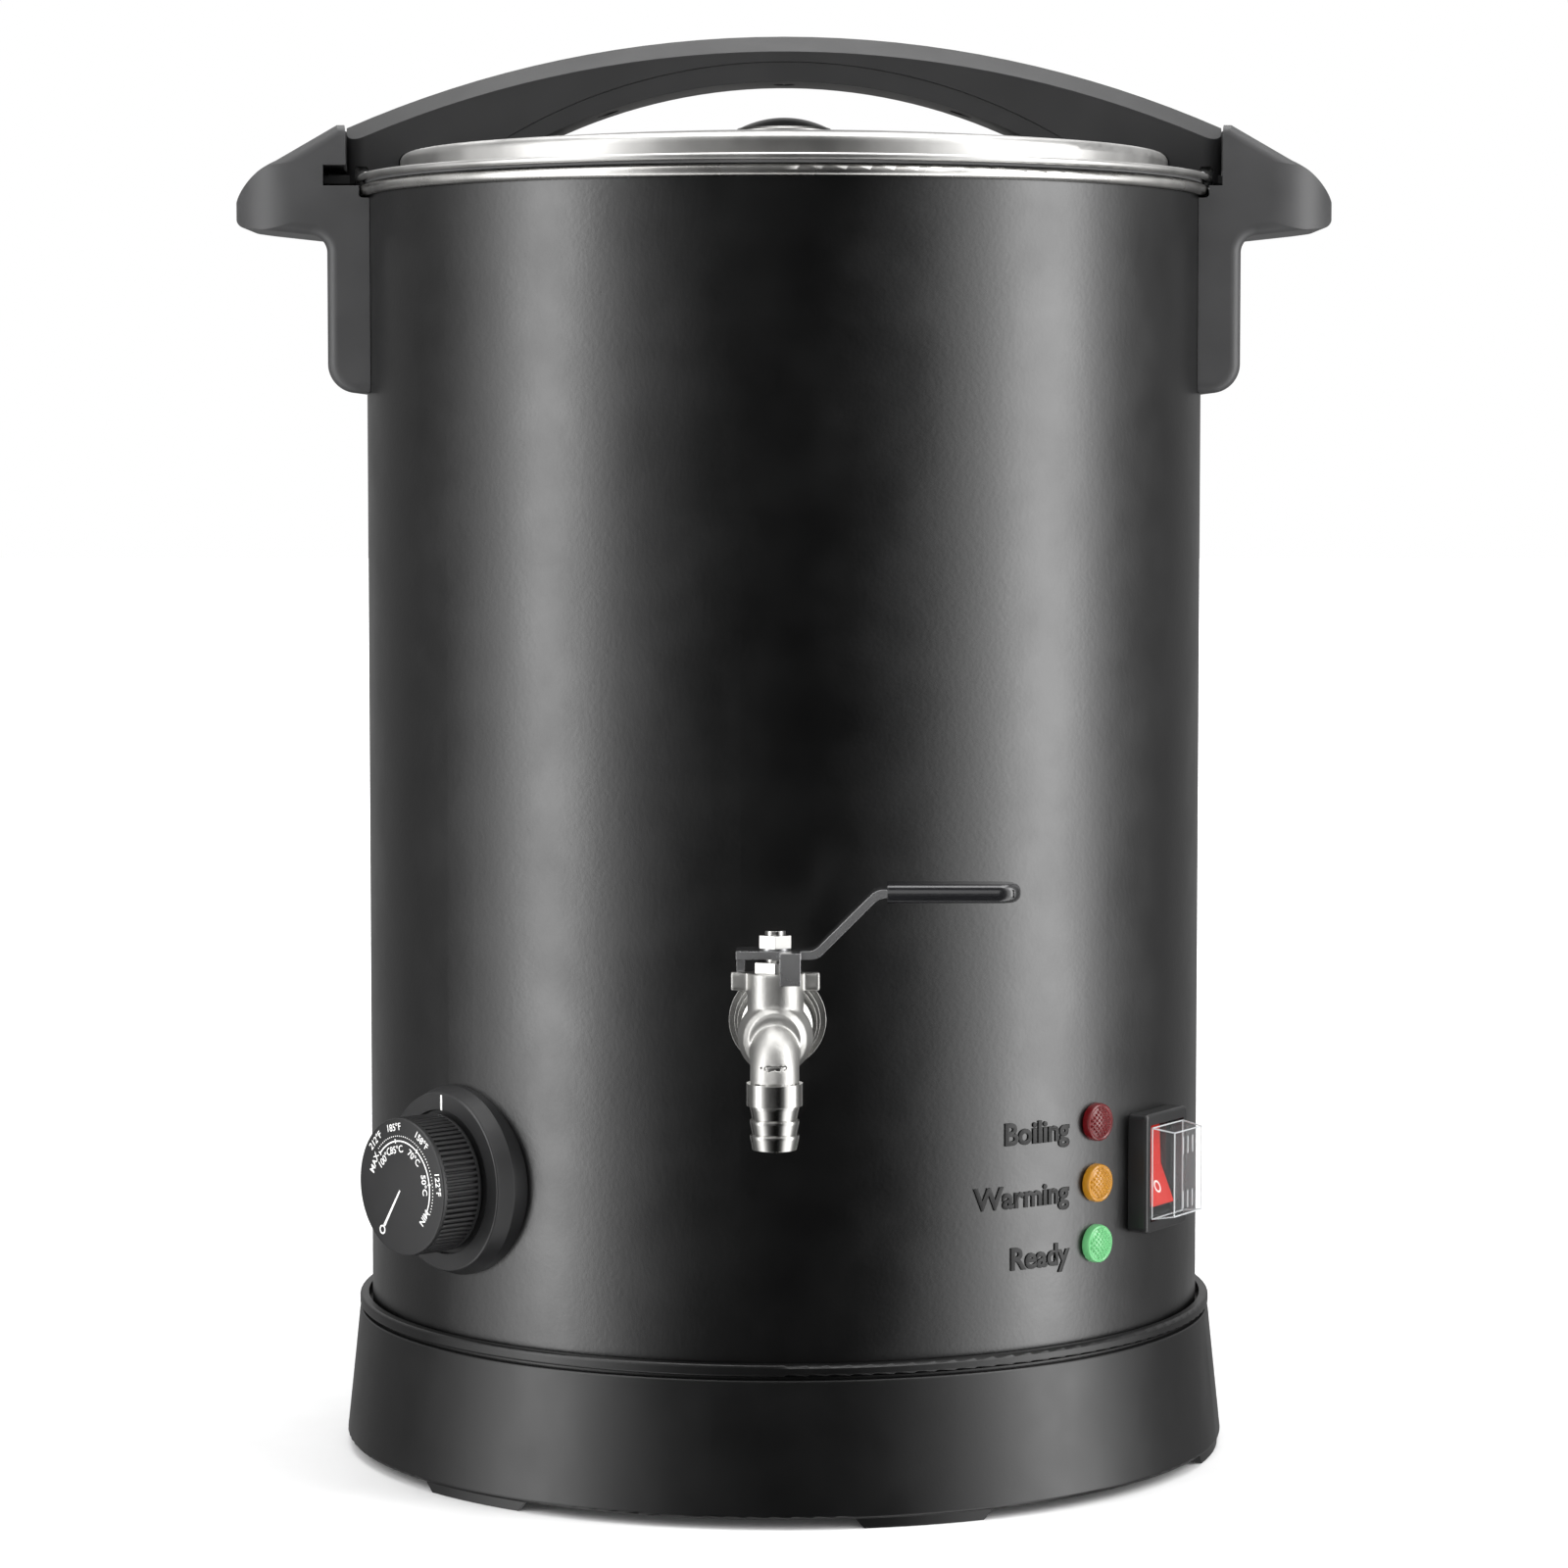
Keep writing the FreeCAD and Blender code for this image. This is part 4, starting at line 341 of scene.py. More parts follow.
class Palette(Enum):
    """Every finish on the kettle."""

    BASE = Finish("moulded_base", (0.002, 0.002, 0.0021), 0.37, "base_plastic", grain=1300.0, relief=0.016)
    # The side handles take a lighter copy of the same handle plastic as the arch: painted light, standing in
    # for light from above the front.
    HANDLE = Finish("moulded_handle", (0.036, 0.036, 0.037), 0.5, "handle_plastic", grain=1500.0,
                    relief=0.014)
    ARCH = Finish("moulded_arch", (0.012, 0.012, 0.0124), 0.58, "handle_plastic", grain=1500.0, relief=0.014)
    PAINT = PowderCoat("powder_coat", (0.0014, 0.0014, 0.0015), 0.32, "shell_paint", grain=900.0,
                       relief=0.016, gloss=0.8)
    WORD = PowderCoat("word_enamel", (0.002, 0.002, 0.002), 0.45, "shell_paint", grain=900.0, relief=0.01,
                      gloss=0.35, edge=0.1)
    LID = SpunSteel("spun_lid", (0.46, 0.455, 0.445), 0.36, "lid_steel", 1.0, grain=5200.0, relief=0.004)
    POT = SpunSteel("spun_pot", (0.63, 0.62, 0.60), 0.27, "pot_steel", 1.0, grain=3600.0, relief=0.005)
    CAST = CastMetal("cast_nickel", (0.42, 0.415, 0.40), 0.42, "tap_nickel", 1.0, grain=1100.0, relief=0.09)
    TURNED = Finish("turned_nickel", (0.44, 0.435, 0.42), 0.2, "polished_nickel", 1.0, grain=2600.0,
                    relief=0.003)
    ZINC = Finish("zinc_plate", (0.34, 0.34, 0.345), 0.26, "zinc_steel", 1.0, grain=2200.0, relief=0.005)
    PLATE = CastMetal("cast_aluminium", (0.62, 0.62, 0.63), 0.45, "plate_aluminium", 1.0, grain=900.0,
                      relief=0.04)
    ELEMENT = Finish("stained_steel", (0.26, 0.23, 0.20), 0.5, "element_steel", 1.0, patch_spread=0.35)
    SEAL = Finish("dark_silicone", (0.075, 0.075, 0.076), 0.62, "silicone", grain=900.0, relief=0.02)
    GASKET = Finish("gasket_silicone", (0.66, 0.65, 0.62), 0.6, "pale_silicone", grain=900.0, relief=0.02)
    VINYL = Finish("dipped_vinyl", (0.008, 0.008, 0.009), 0.2, "vinyl", coat=0.5, grain=420.0, relief=0.03,
                   edge=0.5)
    KNOB = Finish("satin_knob", (0.011, 0.011, 0.0115), 0.42, "knob_plastic", grain=1900.0, relief=0.010,
                  edge=0.2)
    BEZEL = Finish("satin_bezel", (0.014, 0.014, 0.0145), 0.36, "bezel_plastic", grain=1700.0, relief=0.010)
    VENT = Finish("vent_moulding", (0.011, 0.011, 0.011), 0.3, "vent_plastic", grain=1500.0, relief=0.008)
    SWITCH = Finish("gloss_switch", (0.012, 0.012, 0.012), 0.18, "switch_plastic", grain=1200.0, relief=0.004)
    ROCKER = ClearPlastic("lit_rocker", (0.52, 0.020, 0.012), 0.2, "rocker_red", glow=0.16, relief=0.003)
    RED = ClearPlastic("red_lens", (0.11, 0.006, 0.008), 0.16, "lens_red", clearness=0.12, glow=0.02,
                       relief=0.003)
    AMBER = ClearPlastic("amber_lens", (0.42, 0.19, 0.016), 0.12, "lens_amber", clearness=0.15, glow=0.05,
                         relief=0.003)
    GREEN = ClearPlastic("green_lens", (0.12, 0.40, 0.16), 0.14, "lens_green", clearness=0.1, glow=0.10,
                         relief=0.003)
    COVER = ClearPlastic("clear_styrene", (0.30, 0.31, 0.315), 0.08, "clear_cover", relief=0.002,
                         gloss=0.4, opacity=0.09)
    # A brighter, more opaque copy of the clear cover's plastic: painted highlight for the cover's edges and
    # bars.
    COVER_EDGE = ClearPlastic("clear_styrene_edge", (0.62, 0.64, 0.65), 0.15, "clear_cover", relief=0.002,
                              opacity=0.6)
    BRASS = Finish("plated_brass", (0.72, 0.52, 0.22), 0.25, "contact_brass", 1.0)
    SWITCHGEAR = Finish("cream_moulding", (0.52, 0.47, 0.37), 0.5, "thermostat_plastic")
    SEAT = Finish("seat_white", (0.80, 0.80, 0.78), 0.42, "ptfe")
    INK = Finish("white_ink", (0.80, 0.80, 0.79), 0.5, "knob_plastic", grain=3000.0, relief=0.002, edge=0.02)
    MARK = Finish("marking_white", (0.86, 0.80, 0.78), 0.35, "rocker_red", relief=0.002, edge=0.02)


# ---------------------------------------------------------------- places and meshes
def on_wall(azimuth: float, height: float, reach: float = 0.0) -> Matrix:
    """Return a place on the drum's wall: local X to the viewer's right, Y up and Z outwards.

    Args:
        azimuth: degrees from the front, anticlockwise from above.
        height: millimetres above the table.
        reach: millimetres from the drum's axis.

    Returns:
        The place, which also turns millimetres into metres.
    """
    turn = math.radians(azimuth)
    right = Vector((math.cos(turn), math.sin(turn), 0.0))
    out = Vector((math.sin(turn), -math.cos(turn), 0.0))
    spot = out * reach + Vector((0.0, 0.0, height))
    axes = Matrix((right, (0.0, 0.0, 1.0), out)).transposed().to_4x4()
    return Matrix.Scale(MM, 4) @ Matrix.Translation(spot) @ axes


def lathe(profile: list[Corner], steps: int = 96) -> bpy.types.Mesh:
    """Turn a closed outline of (radius, height) about local Z.

    Args:
        profile: the outline's corners, in millimetres.
        steps: flats round the axis.

    Returns:
        A closed mesh with its faces outwards.
    """
    work = bmesh.new()
    spots = [work.verts.new((radius, 0.0, height)) for radius, height in profile]
    edges = [work.edges.new((spot, after)) for spot, after in zip(spots, spots[1:] + spots[:1])]
    bmesh.ops.spin(work, geom=spots + edges, axis=(0, 0, 1), cent=(0, 0, 0), angle=2 * math.pi, steps=steps)
    return close(work, "turned", 1e-4)


def close(work: bmesh.types.BMesh, name: str, gap: float) -> bpy.types.Mesh:
    """Merge doubles, drop empty faces and point the faces outwards.

    Args:
        work: the faces, which are used up.
        name: the mesh's name.
        gap: how near two points are one.

    Returns:
        The mesh.
    """
    bmesh.ops.remove_doubles(work, verts=work.verts, dist=gap)
    bmesh.ops.dissolve_degenerate(work, edges=work.edges, dist=gap)
    bmesh.ops.recalc_face_normals(work, faces=work.faces)
    mesh = bpy.data.meshes.new(name)
    work.to_mesh(mesh)
    work.free()
    return mesh


def rounded(corners: list[Corner], radii: dict[int, float], steps: int = 6) -> list[Corner]:
    """Round some corners of an outline.

    Args:
        corners: the outline's corners in order.
        radii: rounding of each corner to be rounded, by its number.
        steps: short flats in each rounding.

    Returns:
        The outline with its roundings.
    """
    outline: list[Corner] = []
    for number, corner in enumerate(corners):
        if number not in radii:
            outline.append(corner)
            continue
        here = Vector(corner)
        before = (Vector(corners[number - 1]) - here).normalized() * radii[number]
        after = (Vector(corners[(number + 1) % len(corners)]) - here).normalized() * radii[number]
        for step in range(steps + 1):
            share = step / steps
            spot = here + before * (1 - share) ** 2 + after * share**2
            outline.append((spot.x, spot.y))
    return outline


def lettering(
    text: str, size: float, depth: float, bevel: float = 0.0, align: str = "CENTER", weight: float = 0.012
) -> bpy.types.Mesh:
    """Make a word as a mesh in local XY, raised along Z.

    Args:
        text: the word.
        size: height of a line, in millimetres.
        depth: how far it stands up from Z = 0.
        bevel: rounding of its edges.
        align: LEFT, CENTER or RIGHT of the word at X = 0.
        weight: how far its strokes are thickened, as a share of its size.

    Returns:
        The word's mesh.
    """
    curve = bpy.data.curves.new("word", "FONT")
    curve.body, curve.size, curve.align_x, curve.align_y = text, size, align, "CENTER"
    curve.extrude, curve.bevel_depth, curve.bevel_resolution = depth / 2, bevel, 2
    curve.offset = size * weight
    curve.resolution_u = 6
    mesh = baked(bpy.data.objects.new("word", curve))
    mesh.transform(Matrix.Translation((0.0, 0.0, depth / 2)))
    work = bmesh.new()
    work.from_mesh(mesh)
    bmesh.ops.remove_doubles(work, verts=work.verts, dist=1e-4)
    bmesh.ops.triangulate(work, faces=work.faces)
    work.to_mesh(mesh)
    work.free()
    return mesh


def baked(host: bpy.types.Object) -> bpy.types.Mesh:
    """Turn an object with its modifiers into a plain mesh, and drop the object.

    Args:
        host: the object, not yet in the scene.

    Returns:
        The mesh.
    """
    bpy.context.scene.collection.objects.link(host)
    bpy.context.view_layer.update()
    mesh = bpy.data.meshes.new_from_object(host.evaluated_get(bpy.context.evaluated_depsgraph_get()))
    bpy.data.objects.remove(host)
    return mesh


def joined(meshes: list[bpy.types.Mesh], name: str) -> bpy.types.Mesh:
    """Return several meshes as one.

    Args:
        meshes: the meshes.
        name: the name of the whole.

    Returns:
        The whole.
    """
    work = bmesh.new()
    for mesh in meshes:
        work.from_mesh(mesh)
    whole = bpy.data.meshes.new(name)
    work.to_mesh(whole)
    work.free()
    return whole


def node_copy(node: str, gap: float = 2e-6) -> bmesh.types.BMesh:
    """Return a merged copy of a CAD node's mesh.

    Args:
        node: the CAD node.
        gap: how near two points are one, in metres.

    Returns:
        The copy, in metres.
    """
    work = bmesh.new()
    work.from_mesh(frame["nodes"][node].data)
    bmesh.ops.remove_doubles(work, verts=work.verts, dist=gap)
    return work


def solids_of(node: str) -> list[tuple[Vector, Vector]]:
    """Find each separate solid of a CAD node.

    Args:
        node: the CAD node.

    Returns:
        The lowest and highest corner of each solid, in metres.
    """
    work = node_copy(node)
    left = set(work.verts)
    boxes = []
    while left:
        heap, seen = [left.pop()], []
        while heap:
            spot = heap.pop()
            seen.append(spot.co.copy())
            for edge in spot.link_edges:
                other = edge.other_vert(spot)
                if other in left:
                    left.remove(other)
                    heap.append(other)
        low = Vector(min(spot[axis] for spot in seen) for axis in range(3))
        high = Vector(max(spot[axis] for spot in seen) for axis in range(3))
        boxes.append((low, high))
    work.free()
    return sorted(boxes, key=lambda box: tuple(round(part / MM, 3) for part in box[0]))


def dropped_on(mesh: bpy.types.Mesh, node: str, along: Vector, lift: float) -> None:
    """Move each point of a mesh along a line until it is its own height above a CAD node's surface.

    Args:
        mesh: the mesh, in metres, drawn flat in front of the node.
        node: the CAD node that it lies on.
        along: the direction from the mesh to the node.
        lift: extra height above the surface, in metres.
    """
    work = node_copy(node)
    tree = BVHTree.FromBMesh(work)
    nearest = min((spot.co.dot(along) for spot in mesh.vertices), default=0.0)
    for spot in mesh.vertices:
        height = spot.co.dot(along) - nearest
        start = spot.co - along * (0.05 + height)
        hit = tree.ray_cast(start, along)[0]
        if hit is not None:
            spot.co = hit - along * lift + along * height
    work.free()


class Repeat:
    """A Geometry Nodes tree with named sizes, ended by Realize Instances and Set Material."""

    def __init__(self, name: str, **sizes: float) -> None:
        """Make the tree with one input for each named size.

        Args:
            name: the tree's name.
            sizes: each input's value; a whole number makes a count.
        """
        self.tree = bpy.data.node_groups.new(name, "GeometryNodeTree")
        self.tree.interface.new_socket("Mesh", in_out="INPUT", socket_type="NodeSocketGeometry")
        self.tree.interface.new_socket("Mesh", in_out="OUTPUT", socket_type="NodeSocketGeometry")
        self.sizes = sizes
        self.keys: dict[str, str] = {}
        for label, size in sizes.items():
            kind = "NodeSocketInt" if isinstance(size, int) else "NodeSocketFloat"
            entry = self.tree.interface.new_socket(label, in_out="INPUT", socket_type=kind)
            self.keys[label] = entry.identifier
        self.graph = Graph(self.tree)
        self.entry = self.tree.nodes.new("NodeGroupInput")

    def size(self, label: str) -> Socket:
        """Return the socket of a named size."""
        return self.entry.outputs[label]

    def add(self, kind: str, inputs: dict | None = None, **settings: object) -> bpy.types.Node:
        """Add a node to the tree."""
        return self.graph.add(kind, inputs, **settings)

    def put(self, points: Socket, shape: Socket, **inputs: Socket) -> Socket:
        """Return a copy of a shape at each point."""
        inputs = {"Points": points, "Instance": shape, **inputs}
        return self.add("GeometryNodeInstanceOnPoints", inputs).outputs[0]

    def mesh(self, shape: Socket, choice: Palette) -> bpy.types.Mesh:
        """End the tree, run it and return the plain mesh.

        Args:
            shape: the geometry to end with.
            choice: its finish.

        Returns:
            The mesh, in millimetres.
        """
        real = self.add("GeometryNodeRealizeInstances", {0: shape}).outputs[0]
        dressed = {"Geometry": real, "Material": choice.value.material()}
        coloured = self.add("GeometryNodeSetMaterial", dressed).outputs[0]
        self.tree.links.new(coloured, self.tree.nodes.new("NodeGroupOutput").inputs[0])
        host = bpy.data.objects.new(self.tree.name, bpy.data.meshes.new(self.tree.name))
        modifier = host.modifiers.new("repeat", "NODES")
        modifier.node_group = self.tree
        for label, size in self.sizes.items():
            modifier[self.keys[label]] = size
        return baked(host)


# ---------------------------------------------------------------- sub-assemblies
@dataclass
class Assembly:
    """A sub-assembly: CAD nodes that keep their shape and get a finish, and pieces of its own."""

    nodes: ClassVar[dict[str, Palette]] = {}
    body: Body = Body.KETTLE
    made: list[str] = field(default_factory=list)

    def build(self) -> None:
        """Make the pieces that are this assembly's own."""

    def dress(self) -> None:
        """Give every CAD node of the assembly its finish."""
        for node, choice in self.nodes.items():
            materials = frame["nodes"][node].data.materials
            materials.clear()
            materials.append(choice.value.material())

    def keep(
        self,
        name: str,
        mesh: bpy.types.Mesh,
        choice: Palette,
        place: Matrix | None = None,
        body: Body | None = None,
        stands_for: tuple[str, ...] = (),
        crease: float = 35.0,
    ) -> bpy.types.Object:
        """Set a mesh in the frame as a piece that rides on a body.

        Args:
            name: the piece's name.
            mesh: its mesh, in millimetres if a place is given.
            choice: its finish.
            place: where it goes.
            body: the body that it rides on, or the assembly's own.
            stands_for: CAD nodes that it replaces.
            crease: edges sharper than this, in degrees, stay sharp.

        Returns:
            The piece.
        """
        if place is not None:
            mesh.transform(place)
        mesh.materials.clear()
        mesh.materials.append(choice.value.material())
        mesh.shade_smooth()
        mesh.set_sharp_from_angle(angle=math.radians(crease))
        piece = bpy.data.objects.new(name, mesh)
        bpy.context.scene.collection.objects.link(piece)
        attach(piece, (body or self.body).value)
        if stands_for:
            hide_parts(*stands_for)
        self.made.append(name)
        return piece


@dataclass
class Screws(Assembly):
    """A set of like screws with pan heads, a cross recess shown as a dark cross of painted shade, and a plain
    shank.
    """

    node: str = ""
    axis: Vector = field(default_factory=lambda: Vector((0.0, 0.0, -1.0)))
    head_radius: float = 3.0
    head_height: float = 2.0
    shank_radius: float = 1.6
    # Thickness of the dark cross of painted shade on each head.
    recess_shade_depth: float = 0.12
    radial: bool = False

    def head_mesh(self, length: float) -> bpy.types.Mesh:
        """Return one screw along local Z, its head's top at Z = 0.

        Args:
            length: from the head's top to the tip.

        Returns:
            The screw's mesh.
        """
        head, shank = self.head_radius, self.shank_radius
        corners = [
            (0.0, -length),
            (shank, 1.0 - length),
            (shank, -self.head_height),
            (head, -self.head_height),
            (head, -0.6),
            (head * 0.6, 0.0),
            (0.0, 0.0),
        ]
        return lathe(rounded(corners, {5: head * 0.25}, 4), 28)

    def recess_shade_mesh(self) -> bpy.types.Mesh:
        """Return a dark cross laid on the head's top: painted shade where the cross recess would be.

        Returns:
            The cross's mesh.
        """
        sizes = {"Length": self.head_radius * 1.15, "Width": self.head_radius * 0.26}
        tree = Repeat("cross_recess", Count=2, **sizes)
        line = tree.add("GeometryNodeMeshLine", {"Count": tree.size("Count"), "Offset": (0.0, 0.0, 0.0)})
        sides = {"X": tree.size("Length"), "Y": tree.size("Width"), "Z": self.recess_shade_depth}
        size = tree.add("ShaderNodeCombineXYZ", sides)
        bar = tree.add("GeometryNodeMeshCube", {"Size": size.outputs[0]})
        index = tree.add("GeometryNodeInputIndex").outputs[0]
        angle = tree.graph.maths("MULTIPLY", index, math.pi / 2)
        turn = tree.add("ShaderNodeCombineXYZ", {"Z": angle})
        cross = tree.put(line.outputs[0], bar.outputs[0], Rotation=turn.outputs[0])
        # Dark vent plastic, so that the cross shows as the shade in the recess: painted shade.
        return tree.mesh(cross, Palette.VENT)

    def build(self) -> None:
        """Set a screw at each solid of the CAD node."""
        whole, recess_shades = [], []
        for low, high in solids_of(self.node):
            middle = (low + high) / 2
            axis = Vector((math.copysign(1.0, middle.x), 0.0, 0.0)) if self.radial else self.axis
            reach = abs((high - low).dot(axis)) / 2
            turn = axis.to_track_quat("Z", "Y").to_matrix().to_4x4()
            place = Matrix.Translation(middle + axis * reach) @ turn @ Matrix.Scale(MM, 4)
            for part, gather in ((self.head_mesh(reach * 2 / MM), whole), (self.recess_shade_mesh(), recess_shades)):
                part.transform(place)
                gather.append(part)
        self.keep(f"{self.node}_turned", joined(whole, self.node), Palette.ZINC, stands_for=(self.node,))
        # The dark crosses are painted shade for the screws' recesses.
        self.keep(f"{self.node}_recess", joined(recess_shades, self.node), Palette.VENT)


@dataclass
class Drum(Assembly):
    """Painted jacket, steel pot and the words stamped beside the lamps."""

    nodes: ClassVar[dict[str, Palette]] = {"drum_shell": Palette.PAINT, "inner_pot": Palette.POT}
    radius: float = 130.0
    words: tuple[str, ...] = ("Boiling", "Warming", "Ready")
    word_size: float = 9.0
    word_relief: float = 0.3
    word_bevel: float = 0.06
    word_weight: float = 0.026
    word_sink: float = 0.2
    word_azimuth: float = 40.3
    word_heights: tuple[float, ...] = (111.2, 92.6, 74.2)

    def build(self) -> None:
        """Wrap each word round the jacket, its end beside its lamp."""
        for word, height in zip(self.words, self.word_heights):
            shape = (self.word_size, self.word_relief, self.word_bevel)
            mesh = lettering(word, *shape, "RIGHT", self.word_weight)
            for spot in mesh.vertices:
                turn = math.radians(self.word_azimuth) + spot.co.x / self.radius
                reach = self.radius + max(-self.word_sink, spot.co.z)
                spot.co = (reach * math.sin(turn), -reach * math.cos(turn), height + spot.co.y)
            self.keep(f"word_{word.lower()}", mesh, Palette.WORD, Matrix.Scale(MM, 4), crease=60.0)


@dataclass
class Base(Assembly):
    """Moulded foot ring, upper bead and bottom cover."""

    nodes: ClassVar[dict[str, Palette]] = {
        "base_skirt": Palette.BASE,
        "base_collar": Palette.BASE,
        "bottom_cover": Palette.BASE,
    }


@dataclass
class Lid(Assembly):
    """Spun lid with its vent, and the arch handle over it."""

    nodes: ClassVar[dict[str, Palette]] = {
        "lid_disc": Palette.LID,
        "vent_ring": Palette.LID,
        "vent_cap": Palette.VENT,
        "vent_nut": Palette.ZINC,
        "arch_handle": Palette.ARCH,
        "arch_grip": Palette.ARCH,
        "lid_seal": Palette.SEAL,
    }
    body: Body = Body.LID


@dataclass
class SideHandles(Assembly):
    """The two moulded ears."""

    nodes: ClassVar[dict[str, Palette]] = {
        # The ears take the lighter copy of the handle plastic, which paints light on them.
        "side_handle_left": Palette.HANDLE,
        "side_handle_right": Palette.HANDLE,
    }


@dataclass
class Dial(Assembly):
    """Ribbed thermostat knob with its printed scale, on a bezel with an index line."""

    nodes: ClassVar[dict[str, Palette]] = {
        "dial_bezel": Palette.BEZEL,
        "dial_spindle": Palette.ZINC,
        "thermostat_body": Palette.SWITCHGEAR,
    }
    body: Body = Body.DIAL
    azimuth: float = -48.0
    height: float = 94.5
    radius: float = 20.5
    bore: float = 3.1
    back: float = 137.6
    face: float = 152.0
    rib_count: int = 72
    rib_radius: float = 0.66
    rib_gap: float = 2.2
    stroke_count: int = 46
    stroke_size: float = 0.42
    ink: float = 0.05
    arc_radius: float = 13.6
    dots_radius: float = 15.1
    first: float = -49.0
    last: float = 118.0
    fahrenheit: tuple[Label, ...] = (("122°F", 81), ("158°F", 33), ("185°F", -12), ("212°F", -45))
    celsius: tuple[Label, ...] = (("50°C", 81), ("70°C", 33), ("85°C", -12), ("100°C", -46))
    ends: tuple[tuple[str, float, float], ...] = (("MIN", 126, 13.4), ("MAX", -66, 14.2))
    outer_labels: float = 17.6
    inner_labels: float = 11.0
    off: float = 214.0
    print_size: float = 3.0

    def place(self, reach: float) -> Matrix:
        """Return the dial's place at a reach from the drum's axis."""
        return on_wall(self.azimuth, self.height, reach)

    def clockwise(self, angle: float, radius: float) -> Matrix:
        """Return a place on the face, clockwise from its top, its Y pointing outwards."""
        return Matrix.Rotation(-math.radians(angle), 4, "Z") @ Matrix.Translation((0.0, radius, 0.0))

    def ribs(self) -> bpy.types.Mesh:
        """Return the grip ribs round the knob.

        Returns:
            The ribs' mesh.
        """
        length = self.face - self.back - self.rib_gap
        sizes = {"Circle": self.radius - self.rib_radius, "Rib": self.rib_radius, "Length": length}
        tree = Repeat("knob_ribs", Count=self.rib_count, **sizes)
        inputs = {"Vertices": tree.size("Count"), "Radius": tree.size("Circle")}
        ring = tree.add("GeometryNodeMeshCircle", inputs)
        inputs = {"Vertices": 8, "Radius": tree.size("Rib"), "Depth": tree.size("Length")}
        rib = tree.add("GeometryNodeMeshCylinder", inputs)
        return tree.mesh(tree.put(ring.outputs[0], rib.outputs[0]), Palette.KNOB)

    def dotted_arc(self) -> bpy.types.Mesh:
        """Return the short strokes of the outer scale.

        Returns:
            The strokes' mesh.
        """
        sweep = math.radians(self.last - self.first - 4)
        start = math.radians(90 - self.last + 2)
        sizes = {"Circle": self.dots_radius, "Start": start, "Sweep": sweep, "Stroke": self.stroke_size}
        tree = Repeat("scale_strokes", Count=self.stroke_count, **sizes)
        angles = {"Start Angle": tree.size("Start"), "Sweep Angle": tree.size("Sweep")}
        inputs = {"Resolution": 64, "Radius": tree.size("Circle"), **angles}
        arc = tree.add("GeometryNodeCurveArc", inputs, mode="RADIUS")
        inputs = {"Curve": arc.outputs["Curve"], "Count": tree.size("Count")}
        points = tree.add("GeometryNodeCurveToPoints", inputs, mode="COUNT").outputs["Points"]
        half = tree.graph.maths("MULTIPLY", tree.size("Stroke"), 0.5)
        dot = tree.add("GeometryNodeMeshCylinder", {"Vertices": 8, "Radius": half, "Depth": self.ink})
        return tree.mesh(tree.put(points, dot.outputs[0]), Palette.INK)

    def band(self, radius: float, width: float, start: float, end: float, steps: int = 72) -> bpy.types.Mesh:
        """Return a flat printed arc.

        Args:
            radius: of its middle.
            width: across it.
            start: clockwise degrees from the top where it starts.
            end: clockwise degrees where it ends.
            steps: short flats along it.

        Returns:
            The arc's mesh.
        """
        work = bmesh.new()
        rows = []
        for step in range(steps + 1):
            turn = math.radians(90 - (start + (end - start) * step / steps))
            row = []
            for reach, height in ((-width, 0.0), (width, 0.0), (width, self.ink), (-width, self.ink)):
                spot = (radius + reach / 2) * math.cos(turn), (radius + reach / 2) * math.sin(turn), height
                row.append(work.verts.new(spot))
            rows.append(row)
        for row, after in zip(rows, rows[1:]):
            for side in range(4):
                work.faces.new((row[side], row[side - 1], after[side - 1], after[side]))
        if abs(end - start) < 360:
            work.faces.new(rows[0])
            work.faces.new(rows[-1])
        return close(work, "band", 1e-4)

    def stroke(self, angle: float, inner: float, outer: float, width: float, tip: float) -> bpy.types.Mesh:
        """Return a straight printed stroke.

        Args:
            angle: clockwise degrees from the top.
            inner: radius where it starts.
            outer: radius where it ends.
            width: at its outer end.
            tip: width at its inner end.

        Returns:
            The stroke's mesh.
        """
        work = bmesh.new()
        bmesh.ops.create_cube(work, size=1.0)
        for spot in work.verts:
            share = spot.co.y + 0.5
            spot.co.x *= tip + (width - tip) * share
            spot.co.y = inner + (outer - inner) * share
            spot.co.z = (spot.co.z + 0.5) * self.ink
        bmesh.ops.transform(work, matrix=Matrix.Rotation(-math.radians(angle), 4, "Z"), verts=work.verts)
        return close(work, "stroke", 1e-5)

    def print_face(self) -> bpy.types.Mesh:
        """Return everything printed on the knob's face.

        Returns:
            The print's mesh.
        """
        marks = [self.dotted_arc(), self.band(self.arc_radius, 0.45, self.first, self.last)]
        labels = [(word, angle, self.outer_labels) for word, angle in self.fahrenheit]
        labels += [(word, angle, self.inner_labels) for word, angle in self.celsius]
        for word, angle, reach in (*labels, *self.ends):
            mark = lettering(word, self.print_size, self.ink)
            mark.transform(self.clockwise(angle, reach))
            marks.append(mark)
        for angle in (self.first, *(at for _, at in self.celsius[:3]), self.last):
            marks.append(self.stroke(angle, self.arc_radius - 0.7, self.arc_radius + 0.7, 0.4, 0.4))
        ring = self.band(1.15, 0.5, 0.0, 360.0, 28)
        ring.transform(self.clockwise(self.off, 16.6))
        marks += [ring, self.stroke(self.off, 1.4, 15.0, 0.95, 0.55)]
        return joined(marks, "knob_print")

